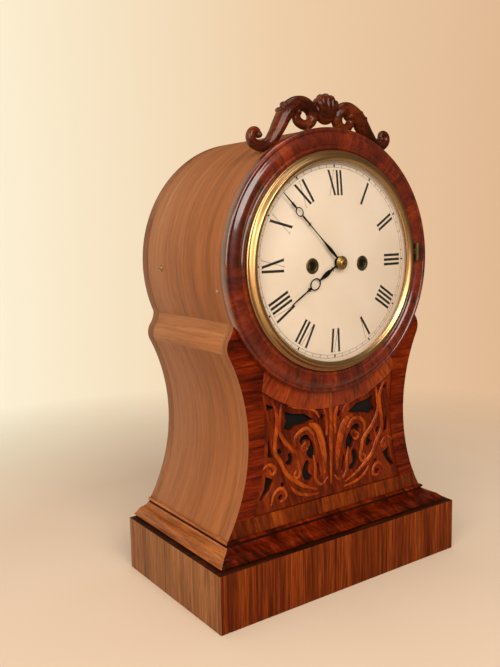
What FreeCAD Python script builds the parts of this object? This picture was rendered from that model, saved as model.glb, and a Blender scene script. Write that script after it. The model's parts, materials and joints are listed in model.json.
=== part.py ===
import FreeCAD, Part
import math
import os

# Balloon bracket clock with an eight inch dial and a two train fusee movement.
# Millimetres. X to the right of the dial, Y to the back, Z up.
# The origin is the middle of the plinth's foot.

# Plinth and base moulding
plinth_depth = 183.0
plinth_height = 57.5
plinth_board = 11.0
plinth_ledge = 6.0
floor_board = 9.0
moulding_width = 21.0
moulding_height = 17.5
moulding_recess = 2.2
moulding_fillet = 1.8
moulding_lip = 1.3
moulding_quirk = 2.0
bead_radius = 1.6

# Case outline
foot_overhang = 0.5
waist_inset = 26.5
waist_height = 170.0
shoulder_reach = 6.31
shoulder_low = 253.5
shoulder_bulge_reach = 7.71
shoulder_bulge_height = 261.5
shoulder_turn_reach = 4.91
shoulder_turn_height = 269.5
shoulder_neck_reach = 1.21
shoulder_neck_height = 276.5
shoulder_top = 283.0
dial_centre = 335.0
ring_overhang = 1.0
drum_wall = 8.0
side_wall = 9.0
front_board_thickness = 10.0
back_board_thickness = 12.0
glue_block = 14.0
block_rise = 30.5
overrun = 1.0

# Flats on turned and round forms
ring_sides = 32
drum_sides = 32
bow_sides = 8
ogee_sides = 4
shoulder_sides = 3
arch_sides = 14
crown_sides = 10
bell_sides = 16
knob_sides = 8
arbor_sides = 6

# Pierced fret and the silk behind it
fret_bottom = 91.5
fret_foot_inset = 31.0
fret_waist_inset = 19.5
fret_waist_height = 168.0
fret_top_inset = 17.0
fret_top_gap = 17.5
fret_recess = 1.2
fret_thickness = 4.5
silk_thickness = 0.6
fret_leaf_shares = (
    ((-0.82, 0.89), (-0.72, 0.85), (-0.81, 0.83)),
    ((-0.60, 0.80), (-0.35, 0.75), (-0.23, 0.69), (-0.47, 0.66), (-0.54, 0.635), (-0.61, 0.665)),
    ((-0.79, 0.62), (-0.77, 0.51), (-0.75, 0.445), (-0.81, 0.455)),
    ((-0.65, 0.60), (-0.61, 0.60), (-0.60, 0.57), (-0.63, 0.555)),
    ((-0.69, 0.50), (-0.67, 0.505), (-0.64, 0.46), (-0.66, 0.455)),
    ((-0.55, 0.45), (-0.50, 0.41), (-0.50, 0.36), (-0.59, 0.38)),
    ((-0.41, 0.54), (-0.325, 0.57), (-0.255, 0.515), (-0.205, 0.41), (-0.235, 0.36), (-0.275, 0.50),
     (-0.325, 0.53)),
    ((-0.355, 0.33), (-0.305, 0.35), (-0.30, 0.25), (-0.255, 0.19), (-0.355, 0.20)),
    ((-0.17, 0.33), (-0.14, 0.20), (-0.155, 0.19), (-0.19, 0.30)),
    ((-0.84, 0.30), (-0.74, 0.26), (-0.88, 0.115), (-0.92, 0.12)),
    ((-0.645, 0.22), (-0.615, 0.20), (-0.63, 0.18), (-0.655, 0.195)),
    ((-0.69, 0.10), (-0.66, 0.12), (-0.635, 0.10), (-0.66, 0.08)),
    ((-0.125, 0.72), (-0.09, 0.70), (-0.10, 0.67), (-0.135, 0.69)),
)

# Carved cresting
cresting_thickness = 16.0
cresting_inset = 30.5
volute_place_shares = (0.25, 0.108)
eye_half_shares = (0.04, 0.062)
dowel_radius = 3.0
dowel_in_board = 8.0
dowel_in_volute = 4.0
cresting_top_shares = (
    (-0.935, -0.125), (-0.925, -0.085), (-0.895, -0.05), (-0.85, -0.038), (-0.805, -0.055), (-0.78, -0.09),
    (-0.765, -0.115), (-0.735, -0.13), (-0.705, -0.12), (-0.68, -0.085), (-0.645, -0.02), (-0.61, 0.04),
    (-0.585, 0.095), (-0.58, 0.13), (-0.59, 0.145), (-0.56, 0.17), (-0.52, 0.20), (-0.47, 0.24),
    (-0.41, 0.275), (-0.34, 0.297), (-0.27, 0.298), (-0.20, 0.285), (-0.155, 0.265), (-0.14, 0.30),
    (-0.10, 0.335), (-0.05, 0.356), (0.0, 0.36), (0.05, 0.356), (0.10, 0.335), (0.135, 0.30),
    (0.15, 0.265), (0.20, 0.285), (0.26, 0.29), (0.33, 0.275), (0.39, 0.245), (0.43, 0.21),
    (0.455, 0.18), (0.50, 0.165), (0.525, 0.15), (0.525, 0.13), (0.51, 0.10), (0.54, 0.065),
    (0.58, 0.03), (0.62, 0.0), (0.66, -0.03), (0.70, -0.045), (0.72, -0.005), (0.755, 0.022),
    (0.795, 0.03), (0.84, 0.015), (0.865, -0.02), (0.87, -0.06), (0.85, -0.10), (0.81, -0.13))
cresting_foot_shares = (
    (0.76, -0.15), (0.70, -0.18), (0.64, -0.24), (0.56, -0.14), (0.52, -0.09), (0.48, -0.035),
    (0.44, 0.01), (0.40, 0.04), (0.385, 0.0), (0.35, -0.03), (0.25, -0.08), (0.13, -0.05),
    (0.115, 0.0), (0.105, 0.02), (0.07, 0.04), (-0.07, 0.04), (-0.105, 0.02), (-0.115, 0.0),
    (-0.13, -0.05), (-0.25, -0.08), (-0.35, -0.03), (-0.385, 0.0), (-0.40, 0.04), (-0.44, 0.01),
    (-0.48, -0.035), (-0.52, -0.09), (-0.56, -0.14), (-0.64, -0.24), (-0.76, -0.236), (-0.82, -0.232),
    (-0.87, -0.215), (-0.91, -0.175))

# Moulded ring round the dial, with its widths counted out from its inner edge
ring_gap = 0.7
ring_width = 21.5
ring_edge = 5.0
ring_bead_width = 18.3
ring_bead_rise = 8.0
ring_quirk_width = 16.6
ring_quirk_rise = 7.2
ring_crown_width = 10.0
ring_crown_rise = 9.0
ring_roll_width = 3.5
ring_roll_rise = 8.3
ring_ledge_rise = 6.2
ring_ledge_lap = 4.7
board_hole_inset = 3.0

# Brass bezel, with its widths counted out from the sight of the dial, and its convex glass
bezel_sight_radius = 99.0
bezel_width = 10.3
bezel_back_gap = 0.3
bezel_edge = 1.8
bezel_cove_width = 7.0
bezel_cove_rise = 4.0
bezel_crest_width = 4.4
bezel_crest_rise = 7.6
bezel_sight_rise = 5.2
bezel_glass_lap = 2.4
bezel_rebate = 4.6
glass_thickness = 1.8
glass_bulge = 11.6
glass_edge_gap = 0.1
dome_band_shares = (1.0, 0.66, 0.0)
hinge_height = 342.0
hinge_knuckle = 6.0
hinge_gap = 0.2
hinge_barrel = 2.2
hinge_pin = 1.1
hinge_axis_gap = 2.3
hinge_axis_rise = 12.0
hinge_leaf = 1.0
hinge_leaf_let_in = 4.0
hinge_tab_reach = 5.0
catch_height = 331.0
catch_width = 6.0
catch_thickness = 1.2
catch_inset = 2.3
catch_depth = 4.5
catch_gap = 0.45
running_clearance = 0.05

# Painted convex dial
dial_lap = 4.0
dial_edge_rise = 4.4
dial_thickness = 1.3
dial_bulge = 6.5
dial_hole_radius = 5.0
dial_foot_radius = 3.0
dial_foot_offset = 60.0
dial_foot_height = 57.0
ferrule_flange_radius = 7.75
ferrule_radius = 5.6
ferrule_bore = 4.75
ferrule_rise = 0.5
ferrule_length = 4.0

# Hands
minute_hand_short = 4.0
hour_hand_short = 28.2
hand_thickness = 0.8
minute_hand_gap = 5.0
hour_hand_gap = 2.4
minute_hand_dip = 6.2
hour_hand_dip = 1.4
minute_boss = 5.0
hour_boss = 7.0
minute_bearing = -44.2
hour_bearing = 237.2
minute_hand_shares = (
    (0.04, 0.012), (0.08, 0.008), (0.11, 0.013), (0.18, 0.019), (0.26, 0.012), (0.32, 0.006),
    (0.54, 0.006), (0.56, 0.027), (0.58, 0.006), (0.67, 0.007), (0.69, 0.026), (0.73, 0.038),
    (0.77, 0.029), (0.82, 0.006), (0.84, 0.006), (0.85, 0.024), (0.86, 0.006), (1.0, 0.002))
minute_loop_shares = ((0.70, 0.0), (0.71, 0.018), (0.735, 0.026), (0.77, 0.016), (0.80, 0.0))
hour_hand_shares = (
    (0.05, 0.018), (0.12, 0.012), (0.145, 0.012), (0.152, 0.042), (0.16, 0.012), (0.19, 0.017),
    (0.28, 0.035), (0.38, 0.014), (0.41, 0.012), (0.44, 0.062), (0.50, 0.080), (0.55, 0.060),
    (0.62, 0.012), (0.63, 0.009), (0.645, 0.037), (0.66, 0.009), (1.0, 0.003))
hour_loop_shares = ((0.435, 0.0), (0.455, 0.045), (0.50, 0.058), (0.55, 0.040), (0.60, 0.0))
collet_radius = 6.8
collet_height = 4.0
collet_nose = 2.8
collet_shoulder = 1.2
collet_step_shares = (0.3, 0.8)

# Movement plates
plate_thickness = 3.2
plate_gap = 58.0
plate_back_from_board = 15.0
plate_half_width = 72.0
plate_rise = 74.0
plate_drop = 88.0
plate_corner = 12.0
pillar_radius = 4.0
pillar_inset = 9.0
pivot_radius = 0.7
arbor_share = 0.9
end_shake = 0.15
pivot_reach = 0.4

# Fusees and barrels
winding_offset = 32.7
winding_drop = 2.0
fusee_arbor_radius = 2.8
fusee_pivot_radius = 2.2
winding_square = 4.0
winding_square_depth = 6.0
great_wheel_back_gap = 5.0
great_wheel_thickness = 2.4
great_pinion_length = 5.0
fusee_length = 29.0
fusee_radii = (23.5, 17.0, 12.0, 8.6)
fusee_gap = 1.0
barrel_offset = 41.0
barrel_drop = 60.0
barrel_radius = 25.0
barrel_cap_radius = 26.2
barrel_cap = 2.0
barrel_length = 44.0
barrel_front_gap = 5.0
barrel_arbor_radius = 3.5
gut_radius = 0.8
gut_clearance = 0.25

# Going train: great wheel, centre, third and escape wheels
great_teeth = 72
centre_leaves = 6
centre_teeth = 72
centre_wheel_radius = 21.6
third_leaves = 6
third_teeth = 60
third_wheel_radius = 15.6
escape_leaves = 6
escape_teeth = 30
escape_radius = 15.5
escape_root = 12.6
escape_phase_share = 0.32
escape_front_share = 0.9
third_bearing = 66.0
wheel_thickness = 1.4
pinion_length = 5.0
crossing_rim = 2.6
crossing_hub = 3.6
crossing_arm = 2.4
crossing_arms = 3
addendum = 0.9
leaf_addendum = 0.7
dedendum = 1.2
leaf_root_share = 0.3
centre_wheel_from_front = 7.6
third_wheel_from_front = 16.0
escape_wheel_from_back = 12.0

# Striking train: great, pin, gathering and warning wheels and the fly
strike_great_radius = 28.08
pin_wheel_bearing = 73.4
pin_teeth = 48
pin_leaves = 6
pin_wheel_radius = 14.88
gathering_teeth = 42
gathering_leaves = 6
gathering_wheel_radius = 11.55
gathering_bearing = 146.7
warning_teeth = 36
warning_leaves = 6
warning_wheel_radius = 9.0
warning_bearing = 70.1
fly_leaves = 6
fly_bearing = 24.9
pin_wheel_from_front = 24.0
gathering_wheel_from_front = 36.0
warning_wheel_from_front = 46.0
lifting_pins = 8
pin_sides = 4
lifting_pin_circle = 12.0
lifting_pin_radius = 0.8
lifting_pin_length = 4.0
fly_span = 8.6
fly_width = 12.0
fly_thickness = 0.8

# Escapement and pendulum
pallet_bearing = 45.0
pallet_lift_gap = 0.12
pallet_nib_half = 0.25
pallet_heel_half = 0.8
pallet_heel = 1.8
pallet_web = 2.6
pallet_thickness = 3.0
pallet_arm = 3.6
pallet_arbor = 1.3
crutch_length = 70.0
crutch_width = 3.0
crutch_thickness = 1.2
crutch_from_plate = 4.0
fork_gap = 0.15
fork_wall = 1.2
fork_depth = 5.0
pendulum_length = 248.0
pendulum_from_plate = 12.0
rod_width = 4.0
rod_thickness = 2.0
spring_width = 4.0
spring_length = 14.0
spring_thickness = 0.4
spring_clear_share = 0.3
bob_radius = 24.0
bob_thickness = 13.0
bob_rim = 2.0
bob_belly_share = 0.8
rating_nut_radius = 5.0
rating_nut_height = 4.0
rating_screw_length = 14.0
cock_width = 12.0
cock_thickness = 3.0
cock_offset = 10.0

# Motion work under the dial
cannon_teeth = 24
cannon_wheel_radius = 9.6
motion_leaves = 6
hour_teeth = 72
cannon_from_plate = 4.0
hour_wheel_from_plate = 8.0
motion_thickness = 1.6
centre_front_radius = 1.4
cannon_pipe_radius = 2.4
hour_pipe_radius = 3.4
minute_wheel_bearing = -90.0
snail_steps = 12
snail_high = 15.5
snail_step = 0.85
snail_thickness = 1.4
snail_phase = 73.0

# Rack striking work
rack_pivot_offset = -44.0
rack_pivot_drop = 24.0
rack_stud_radius = 2.0
rack_pipe_radius = 3.4
rack_arm = 4.6
rack_tooth_count = 17
rack_lead_teeth = 4
rack_tooth_depth = 1.4
rack_tooth_back_share = 0.9
rack_thickness = 1.4
rack_tail_width = 2.4
rack_tail_gap = 0.6
rack_tip_gap = 0.4
gathering_pallet_reach = 4.0
gathering_pallet_width = 1.6
hook_pivot_offset = -62.0
hook_pivot_rise = 44.0
hook_arm = 4.0
hook_beak = 3.0
lifter_pivot_offset = -58.0
lifter_pivot_drop = 4.0
lifter_head_offset = -54.0
lifter_head_rise = 36.0
lifter_pin_radius = 1.0
lifter_arm = 3.6
lifter_gap = 0.5
lifter_from_plate = 2.0
rack_from_plate = 5.6
stud_cap = 0.6

# Bell and hammer
bell_radius = 36.0
bell_height = 27.0
bell_over_plates = 11.0
bell_wall = 1.5
bell_profile_shares = ((1.0, 0.0), (0.92, 0.4), (0.74, 0.8), (0.12, 1.0), (0.06, 1.0))
stand_bar = 5.0
stand_stud_radius = 2.0
stand_drop = 3.0
stand_offset = 14.0
stand_foot = 9.0
bell_nut_radius = 4.0
bell_seat_radius = 2.7
bell_nut_height = 3.0
hammer_offset = -49.5
hammer_rise = 25.0
hammer_from_front = 22.0
hammer_arm = 3.0
hammer_head_length = 8.0
hammer_head_height = 8.0
hammer_head_depth = 6.0
hammer_rest_gap = 0.6
hammer_tail_gap = 0.5

# Glazed rear door
door_half_width = 72.0
door_bottom = 112.0
door_spring = 335.0
door_gap = 0.6
door_frame = 15.0
door_glass_thickness = 2.0
door_glass_lap = 3.0
door_hinge_heights = (165.0, 325.0)
door_knuckle = 10.0
door_hinge_barrel = 2.0
door_hinge_pin = 1.0
door_hinge_rise = 2.3
knob_height = 240.0
knob_inset = 9.0
knob_radius = 6.0
knob_neck = 4.0
knob_length = 10.0
knob_belly_share = 0.5
knob_shaft = 2.5
tongue_length = 15.0
tongue_width = 5.0
tongue_thickness = 1.6
tongue_gap = 0.3

# Brackets
strap_thickness = 2.0
strap_height = 14.0
strap_drop = 4.0
strap_foot = 12.0
front_post_radius = 4.0

# Widths worked out from the sight of the dial outwards
bezel_radius = bezel_sight_radius + bezel_width
ring_inner_radius = bezel_radius + ring_gap
ring_radius = ring_inner_radius + ring_width
board_hole_radius = bezel_sight_radius - board_hole_inset
hinge_axis_offset = bezel_radius + hinge_axis_gap
catch_radius = bezel_radius - catch_inset
dial_radius = bezel_sight_radius + dial_lap
minute_hand_length = bezel_sight_radius - minute_hand_short
hour_hand_length = bezel_sight_radius - hour_hand_short
drum_radius = ring_radius - ring_overhang
drum_half_width = math.sqrt(drum_radius ** 2 - (dial_centre - shoulder_top) ** 2)
foot_half_width = ring_radius + foot_overhang
waist_half_width = foot_half_width - waist_inset
plinth_width = 2 * (foot_half_width + moulding_width + plinth_ledge)
fret_half_width = foot_half_width - fret_foot_inset
fret_waist_half = waist_half_width - fret_waist_inset
fret_top_half = waist_half_width - fret_top_inset
fret_top_radius = ring_radius + fret_top_gap
cresting_reach = drum_radius - cresting_inset
volute_offset, volute_rise = [share * cresting_reach for share in volute_place_shares]
bell_rim_rise = plate_rise + bell_over_plates

# Planes worked out from the sizes above
back_plane = plinth_depth / 2
front_plane = -back_plane + plinth_ledge + moulding_width
inner_front = front_plane + front_board_thickness
inner_back = back_plane - back_board_thickness
foot_height = plinth_height + moulding_height
ring_back = front_plane
bezel_back = front_plane - ring_ledge_rise - bezel_back_gap
dial_edge = front_plane - dial_edge_rise
plate_front = inner_front + plate_back_from_board
train_front = plate_front + plate_thickness
train_back = train_front + plate_gap
plate_back = train_back + plate_thickness


def point(x, z, y=0.0):
    return FreeCAD.Vector(x, y, z)


def arc(start, middle, end):
    return Part.Arc(start, middle, end).toShape()


def flat_of(corners):
    return Part.Face(Part.makePolygon(corners + corners[:1]))


def outline(points):
    return flat_of([point(x, z) for x, z in points])


def bow(start, middle, end, sides):
    # Corners along the arc through three points
    return arc(start, middle, end).discretize(sides + 1)


def left_of(corners):
    return [point(-corner.x, corner.z) for corner in reversed(corners)]


def joined(*flats):
    return Part.makeCompound([side for flat in flats for side in flat.Faces])


def slab(flat, y, depth):
    solids = []
    for side in flat.Faces:
        solid = side.extrude(FreeCAD.Vector(0, depth, 0))
        solid.translate(FreeCAD.Vector(0, y, 0))
        if solid.Volume < 0:
            solid.reverse()
        solids.append(solid)
    return fused(*solids) if len(solids) > 1 else solids[0]


def block(x, y, z):
    size = [high - low for low, high in (x, y, z)]
    return Part.makeBox(size[0], size[1], size[2], FreeCAD.Vector(x[0], y[0], z[0]))


def polar(centre, radius, bearing):
    turn = math.radians(bearing)
    return (centre[0] + radius * math.cos(turn), centre[1] + radius * math.sin(turn))


def turned(profile, x, z, sides):
    # A turned form has flat sides. Its profile is a closed row of radius and Y, and may touch the axis.
    rows = []
    for radius, y in profile:
        row = [polar((x, z), radius, 360 * side / sides) for side in range(sides + 1)]
        rows.append([point(px, pz, y) for px, pz in row])
    flats = []
    for (radius, _), (following, _), row, other in zip(profile, profile[1:] + profile[:1], rows,
                                                       rows[1:] + rows[:1]):
        if radius == 0 and following == 0:
            continue
        for side in range(sides):
            corners = [row[side], row[side + 1], other[side + 1], other[side]]
            if radius == 0:
                corners = corners[1:]
            elif following == 0:
                corners = corners[:3]
            flats.append(Part.Face(Part.makePolygon(corners + corners[:1])))
    solid = Part.Solid(Part.Shell(flats))
    if solid.Volume < 0:
        solid.reverse()
    return solid


def plug(radius, place, sides):
    # A flat with even sides, whose corners lie on the radius.
    return outline([polar(place, radius, 360 * side / sides) for side in range(sides)])


def socket(radius, place, sides):
    # The same, but with the middles of its sides on the radius, so that a plug turns in it.
    return plug(radius / math.cos(math.pi / sides), place, sides)


def bar(radius, place, y, length, sides=None):
    return slab(plug(radius, place, sides or arbor_sides), y, length)


def mirrored(shape):
    return shape.mirror(FreeCAD.Vector(0, 0, 0), FreeCAD.Vector(1, 0, 0))


def both_sides(shape):
    return Part.makeCompound([shape, mirrored(shape)])


def fused(first, *others):
    joint = first.multiFuse(list(others)).removeSplitter()
    return joint.Solids[0] if len(joint.Solids) == 1 else joint


def bearing_of(start, end):
    return math.degrees(math.atan2(end[1] - start[1], end[0] - start[0]))


def distance(start, end):
    return math.hypot(end[0] - start[0], end[1] - start[1])


def circle_height(radius, x):
    return math.sqrt(radius * radius - x * x)


# Case outline: waist, shoulder and drum
def side_line(inset=0.0):
    def at(half_width, height):
        return point(half_width - inset, height)
    foot = at(foot_half_width, foot_height)
    waist = at(waist_half_width, waist_height)
    shoulder = at(drum_half_width + shoulder_reach, shoulder_low)
    return [at(foot_half_width, plinth_height)] + bow(foot, waist, shoulder, bow_sides)


def shoulder_line():
    low = point(drum_half_width + shoulder_reach, shoulder_low)
    bulge = point(drum_half_width + shoulder_bulge_reach, shoulder_bulge_height)
    turn = point(drum_half_width + shoulder_turn_reach, shoulder_turn_height)
    neck = point(drum_half_width + shoulder_neck_reach, shoulder_neck_height)
    top = point(drum_half_width, shoulder_top)
    return bow(low, bulge, turn, shoulder_sides) + bow(turn, neck, top, shoulder_sides)[1:]


def drum_line(radius):
    half = circle_height(radius, dial_centre - shoulder_top)
    return bow(point(half, shoulder_top), point(0, dial_centre + radius), point(-half, shoulder_top),
               drum_sides)


def case_face():
    right = side_line() + shoulder_line()[1:]
    return flat_of(right + drum_line(drum_radius)[1:-1] + left_of(right))


def fret_face():
    low = point(fret_half_width, fret_bottom)
    waist = point(fret_waist_half, fret_waist_height)
    top = point(fret_top_half, dial_centre - circle_height(fret_top_radius, fret_top_half))
    crown = point(0, dial_centre - fret_top_radius)
    right = bow(low, waist, top, bow_sides)
    return flat_of(right + bow(top, crown, point(-top.x, top.z), crown_sides)[1:-1] + left_of(right))


def arch_face(half_width, bottom, spring):
    crown = bow(point(half_width, spring), point(0, spring + half_width), point(-half_width, spring),
                arch_sides)
    return flat_of([point(half_width, bottom)] + crown + [point(-half_width, bottom)])


# Plinth: four mitred boards and a floor board let in between them
def make_plinth():
    half_width = plinth_width / 2
    half_depth = plinth_depth / 2
    def mitred(corners):
        points = [FreeCAD.Vector(x, y, 0) for x, y in corners]
        flat = Part.Face(Part.makePolygon(points + points[:1]))
        return flat.extrude(FreeCAD.Vector(0, 0, plinth_height))
    outer_x, outer_y = half_width, half_depth
    inner_x, inner_y = half_width - plinth_board, half_depth - plinth_board
    front = mitred([(-outer_x, -outer_y), (outer_x, -outer_y), (inner_x, -inner_y), (-inner_x, -inner_y)])
    back = mitred([(-outer_x, outer_y), (outer_x, outer_y), (inner_x, inner_y), (-inner_x, inner_y)])
    right = mitred([(outer_x, -outer_y), (outer_x, outer_y), (inner_x, inner_y), (inner_x, -inner_y)])
    return Part.makeCompound([front, back, right, mirrored(right)])


def make_floor():
    x = plinth_width / 2 - plinth_board
    y = plinth_depth / 2 - plinth_board
    return block((-x, x), (-y, y), (plinth_height - floor_board, plinth_height))


# Ogee moulding with an astragal bead, mitred at the two front corners
def moulding_face():
    # The profile runs out from the case foot, which stands at zero, and up from the plinth.
    lip = moulding_fillet + moulding_lip
    bead_low = moulding_height - 2 * bead_radius
    ogee_top = bead_low - moulding_lip
    turn = ((moulding_width + moulding_quirk) / 2, (lip + ogee_top) / 2)
    low = ((moulding_width + turn[0]) / 2, lip + (turn[1] - lip) / 4)
    high = ((moulding_quirk + turn[0]) / 2, ogee_top - (ogee_top - turn[1]) / 4)
    foot = moulding_width - moulding_recess
    hollow = bow(point(moulding_width, lip), point(*low), point(*turn), ogee_sides)
    belly = bow(point(*turn), point(*high), point(moulding_quirk, ogee_top), ogee_sides)
    return flat_of([point(0, 0), point(foot, 0), point(foot, moulding_fillet),
                    point(moulding_width, moulding_fillet)]
                   + hollow + belly[1:] + [point(0, ogee_top)])


def bead_face():
    low = moulding_height - 2 * bead_radius - moulding_lip
    start = moulding_height - 2 * bead_radius
    return outline([(0, low), (bead_radius, low), (bead_radius, start),
                    (2 * bead_radius, start + bead_radius),
                    (bead_radius, moulding_height), (0, moulding_height)])


def moulding_run(profile):
    # The right hand length runs along the side and the front length across.
    side = profile.copy()
    reach = moulding_width + overrun
    side = side.extrude(FreeCAD.Vector(0, back_plane - front_plane + reach, 0))
    side.translate(FreeCAD.Vector(foot_half_width, front_plane - reach, plinth_height))
    front = profile.copy()
    front.rotate(FreeCAD.Vector(0, 0, 0), FreeCAD.Vector(0, 0, 1), -90)
    front = front.extrude(FreeCAD.Vector(2 * (foot_half_width + reach), 0, 0))
    front.translate(FreeCAD.Vector(-foot_half_width - reach, front_plane, plinth_height))
    corner = FreeCAD.Vector(foot_half_width, front_plane, 0)
    out = FreeCAD.Vector(2 * reach, -2 * reach, 0)
    back = FreeCAD.Vector(0, -2 * reach, 0)
    wedge_points = [corner, corner + out, corner + back]
    wedge = Part.Face(Part.makePolygon(wedge_points + wedge_points[:1]))
    wedge = wedge.extrude(FreeCAD.Vector(0, 0, foot_height + overrun))
    side = side.cut(wedge)
    aside_points = [corner, corner + out, corner + FreeCAD.Vector(2 * reach, 0, 0)]
    aside = Part.Face(Part.makePolygon(aside_points + aside_points[:1]))
    aside = aside.extrude(FreeCAD.Vector(0, 0, foot_height + overrun))
    front = front.cut(aside).cut(mirrored(aside))
    return Part.makeCompound([front, side, mirrored(side)])


# Carcase boards
def make_front_board():
    board = case_face().cut(plug(board_hole_radius, (0, dial_centre), ring_sides)).cut(fret_face())
    board = slab(board, front_plane, front_board_thickness)
    return board.cut(dowel(-volute_offset)).cut(dowel(volute_offset))


def make_back_board():
    board = case_face().cut(arch_face(door_half_width, door_bottom, door_spring))
    board = slab(board, inner_back, back_board_thickness)
    for leaf in door_hinge_leaves(-1):
        board = board.cut(leaf)
    return board


def make_waist_sides():
    flat = flat_of(side_line() + list(reversed(side_line(side_wall))))
    return both_sides(slab(flat, inner_front, inner_back - inner_front))


def make_shoulders():
    inner = circle_height(drum_radius - drum_wall, dial_centre - shoulder_top)
    flat = flat_of(shoulder_line() + [point(inner, shoulder_top), point(inner, shoulder_low)])
    return both_sides(slab(flat, inner_front, inner_back - inner_front))


def make_drum():
    flat = flat_of(drum_line(drum_radius) + list(reversed(drum_line(drum_radius - drum_wall))))
    return slab(flat, inner_front, inner_back - inner_front)


def make_glue_blocks():
    low = shoulder_top + block_rise - glue_block / 2
    high = low + glue_block
    inner = drum_radius - drum_wall
    start = circle_height(inner, low - dial_centre) - glue_block
    wood = block((start, inner), (inner_front, inner_front + glue_block), (low, high))
    return both_sides(wood.cut(make_drum()).Solids[0])


# Pierced fret and silk
def make_fret():
    flat = fret_face()
    height = flat.BoundBox.ZMax - fret_bottom
    holes = []
    for shares in fret_leaf_shares:
        for side in (1, -1):
            holes.append(outline([(side * x * fret_half_width, fret_bottom + z * height) for x, z in shares]))
    return slab(flat.cut(Part.makeCompound(holes)), front_plane + fret_recess, fret_thickness)


def make_silk():
    return slab(fret_face(), front_plane + fret_recess + fret_thickness, silk_thickness)


def eye_turns():
    return [math.radians(360 * (side + 0.5) / knob_sides) for side in range(knob_sides)]


# Cresting: a shell between two volutes, with an arm and a scroll end on each side
def make_cresting():
    base = dial_centre + drum_radius
    points = [(x * cresting_reach, base + z * cresting_reach) for x,
              z in cresting_top_shares + cresting_foot_shares]
    carved = slab(outline(points), front_plane, cresting_thickness)
    half_width, half_height = [share * cresting_reach for share in eye_half_shares]
    eye = [(half_width * math.cos(turn), half_height * math.sin(turn)) for turn in eye_turns()]
    for x in (-volute_offset, volute_offset):
        hole = outline([(x + half, base + volute_rise + rise) for half, rise in eye])
        carved = carved.cut(slab(hole, front_plane - overrun, cresting_thickness + 2 * overrun)).cut(dowel(x))
    return carved.cut(slab(case_face(), front_plane - overrun, cresting_thickness + 2 * overrun))


def dowel(x):
    surface = dial_centre + circle_height(drum_radius, x)
    return upright_bar(dowel_radius, x, front_plane + front_board_thickness / 2,
                       surface - dowel_in_board, dowel_in_board + dowel_in_volute)


def upright_bar(radius, x, y, z, length):
    turns = [360 * (side + 0.5) / arbor_sides for side in range(arbor_sides)]
    corners = [FreeCAD.Vector(*polar((x, y), radius, turn), z) for turn in turns]
    return flat_of(corners).extrude(FreeCAD.Vector(0, 0, length))


def make_dowels():
    return Part.makeCompound([dowel(-volute_offset), dowel(volute_offset)])


# Dial surround, bezel, glass and dial
def make_ring():
    steps = ((ring_width, 0), (ring_width, ring_edge), (ring_bead_width, ring_bead_rise),
             (ring_quirk_width, ring_quirk_rise), (ring_crown_width, ring_crown_rise),
             (ring_roll_width, ring_roll_rise), (0, ring_ledge_rise))
    ledge = bezel_radius - ring_ledge_lap
    crests = [(ring_inner_radius + width, rise) for width, rise in steps] + [(ledge, ring_ledge_rise),
                                                                             (ledge, 0)]
    ring = turned([(radius, ring_back - rise) for radius, rise in crests], 0, dial_centre, ring_sides)
    for leaf in bezel_hinge_leaves():
        ring = ring.cut(leaf)
    return ring.cut(catch_block(catch_gap))


def make_bezel():
    steps = ((bezel_width, 0), (bezel_width, bezel_edge), (bezel_cove_width, bezel_cove_rise),
             (bezel_crest_width, bezel_crest_rise), (0, bezel_sight_rise), (0, bezel_rebate),
             (bezel_glass_lap, bezel_rebate), (bezel_glass_lap, 0))
    crests = [(bezel_sight_radius + width, bezel_back - rise) for width, rise in steps]
    return turned(crests, 0, dial_centre, ring_sides)


def dome(radius, edge, bulge, thickness, hole=0.0, flange=0.0):
    # The flange is a flat rim outside the bulged part.
    front = []
    for share in dome_band_shares:
        reach = max(radius * share, hole)
        front.append((reach, edge - bulge * (1 - (reach / radius) ** 2)))
    if flange > 0:
        front.insert(0, (radius + flange, edge))
    back = [(reach, y + thickness) for reach, y in reversed(front)]
    return turned(front + back, 0, dial_centre, ring_sides)


def make_glass():
    radius = bezel_sight_radius - glass_edge_gap
    return dome(radius, bezel_back - bezel_rebate, glass_bulge, glass_thickness, 0.0, bezel_glass_lap)


def dial_front(radius):
    return dial_edge - dial_bulge * (1 - (radius / dial_radius) ** 2)


def winding_place(side):
    return (side * winding_offset, dial_centre - winding_drop)


def make_dial():
    dial = dome(dial_radius, dial_edge, dial_bulge, dial_thickness, dial_hole_radius)
    for side in (-1, 1):
        x, z = winding_place(side)
        dial = dial.cut(bar(ferrule_radius, (x, z), dial_front(0) - overrun, 2 * dial_bulge, knob_sides))
    return dial


def make_ferrules():
    x, z = winding_place(1)
    seat = dial_front(winding_offset - ferrule_flange_radius)
    flange = ((ferrule_bore, seat - ferrule_rise), (ferrule_flange_radius, seat - ferrule_rise),
              (ferrule_flange_radius, seat), (ferrule_radius, seat), (ferrule_radius, seat + ferrule_length),
              (ferrule_bore, seat + ferrule_length))
    return both_sides(turned(flange, x, z, knob_sides))


def make_dial_feet():
    feet = []
    for rise in (-dial_foot_height, dial_foot_height):
        start = dial_front(math.hypot(dial_foot_offset, rise)) + dial_thickness
        feet.append(bar(dial_foot_radius, (dial_foot_offset, dial_centre + rise), start, plate_front - start))
    feet = both_sides(Part.makeCompound(feet))
    return feet.cut(dome(dial_radius, dial_edge, dial_bulge, dial_thickness, dial_hole_radius))


def bezel_hinge_spans():
    pitch = hinge_knuckle + hinge_gap
    return [(hinge_height + turn * pitch - hinge_knuckle / 2, hinge_height + turn * pitch + hinge_knuckle / 2)
            for turn in (-1, 0, 1)]


def hinge_axis_plane():
    return front_plane - hinge_axis_rise


def bezel_hinge_leaves():
    leaves = []
    spans = bezel_hinge_spans()
    for low, high in (spans[0], spans[2]):
        leaves.append(block((hinge_axis_offset, hinge_axis_offset + hinge_leaf),
                            (hinge_axis_plane(), front_plane - ring_ledge_rise + hinge_leaf_let_in),
                            (low, high)))
    return leaves


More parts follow.
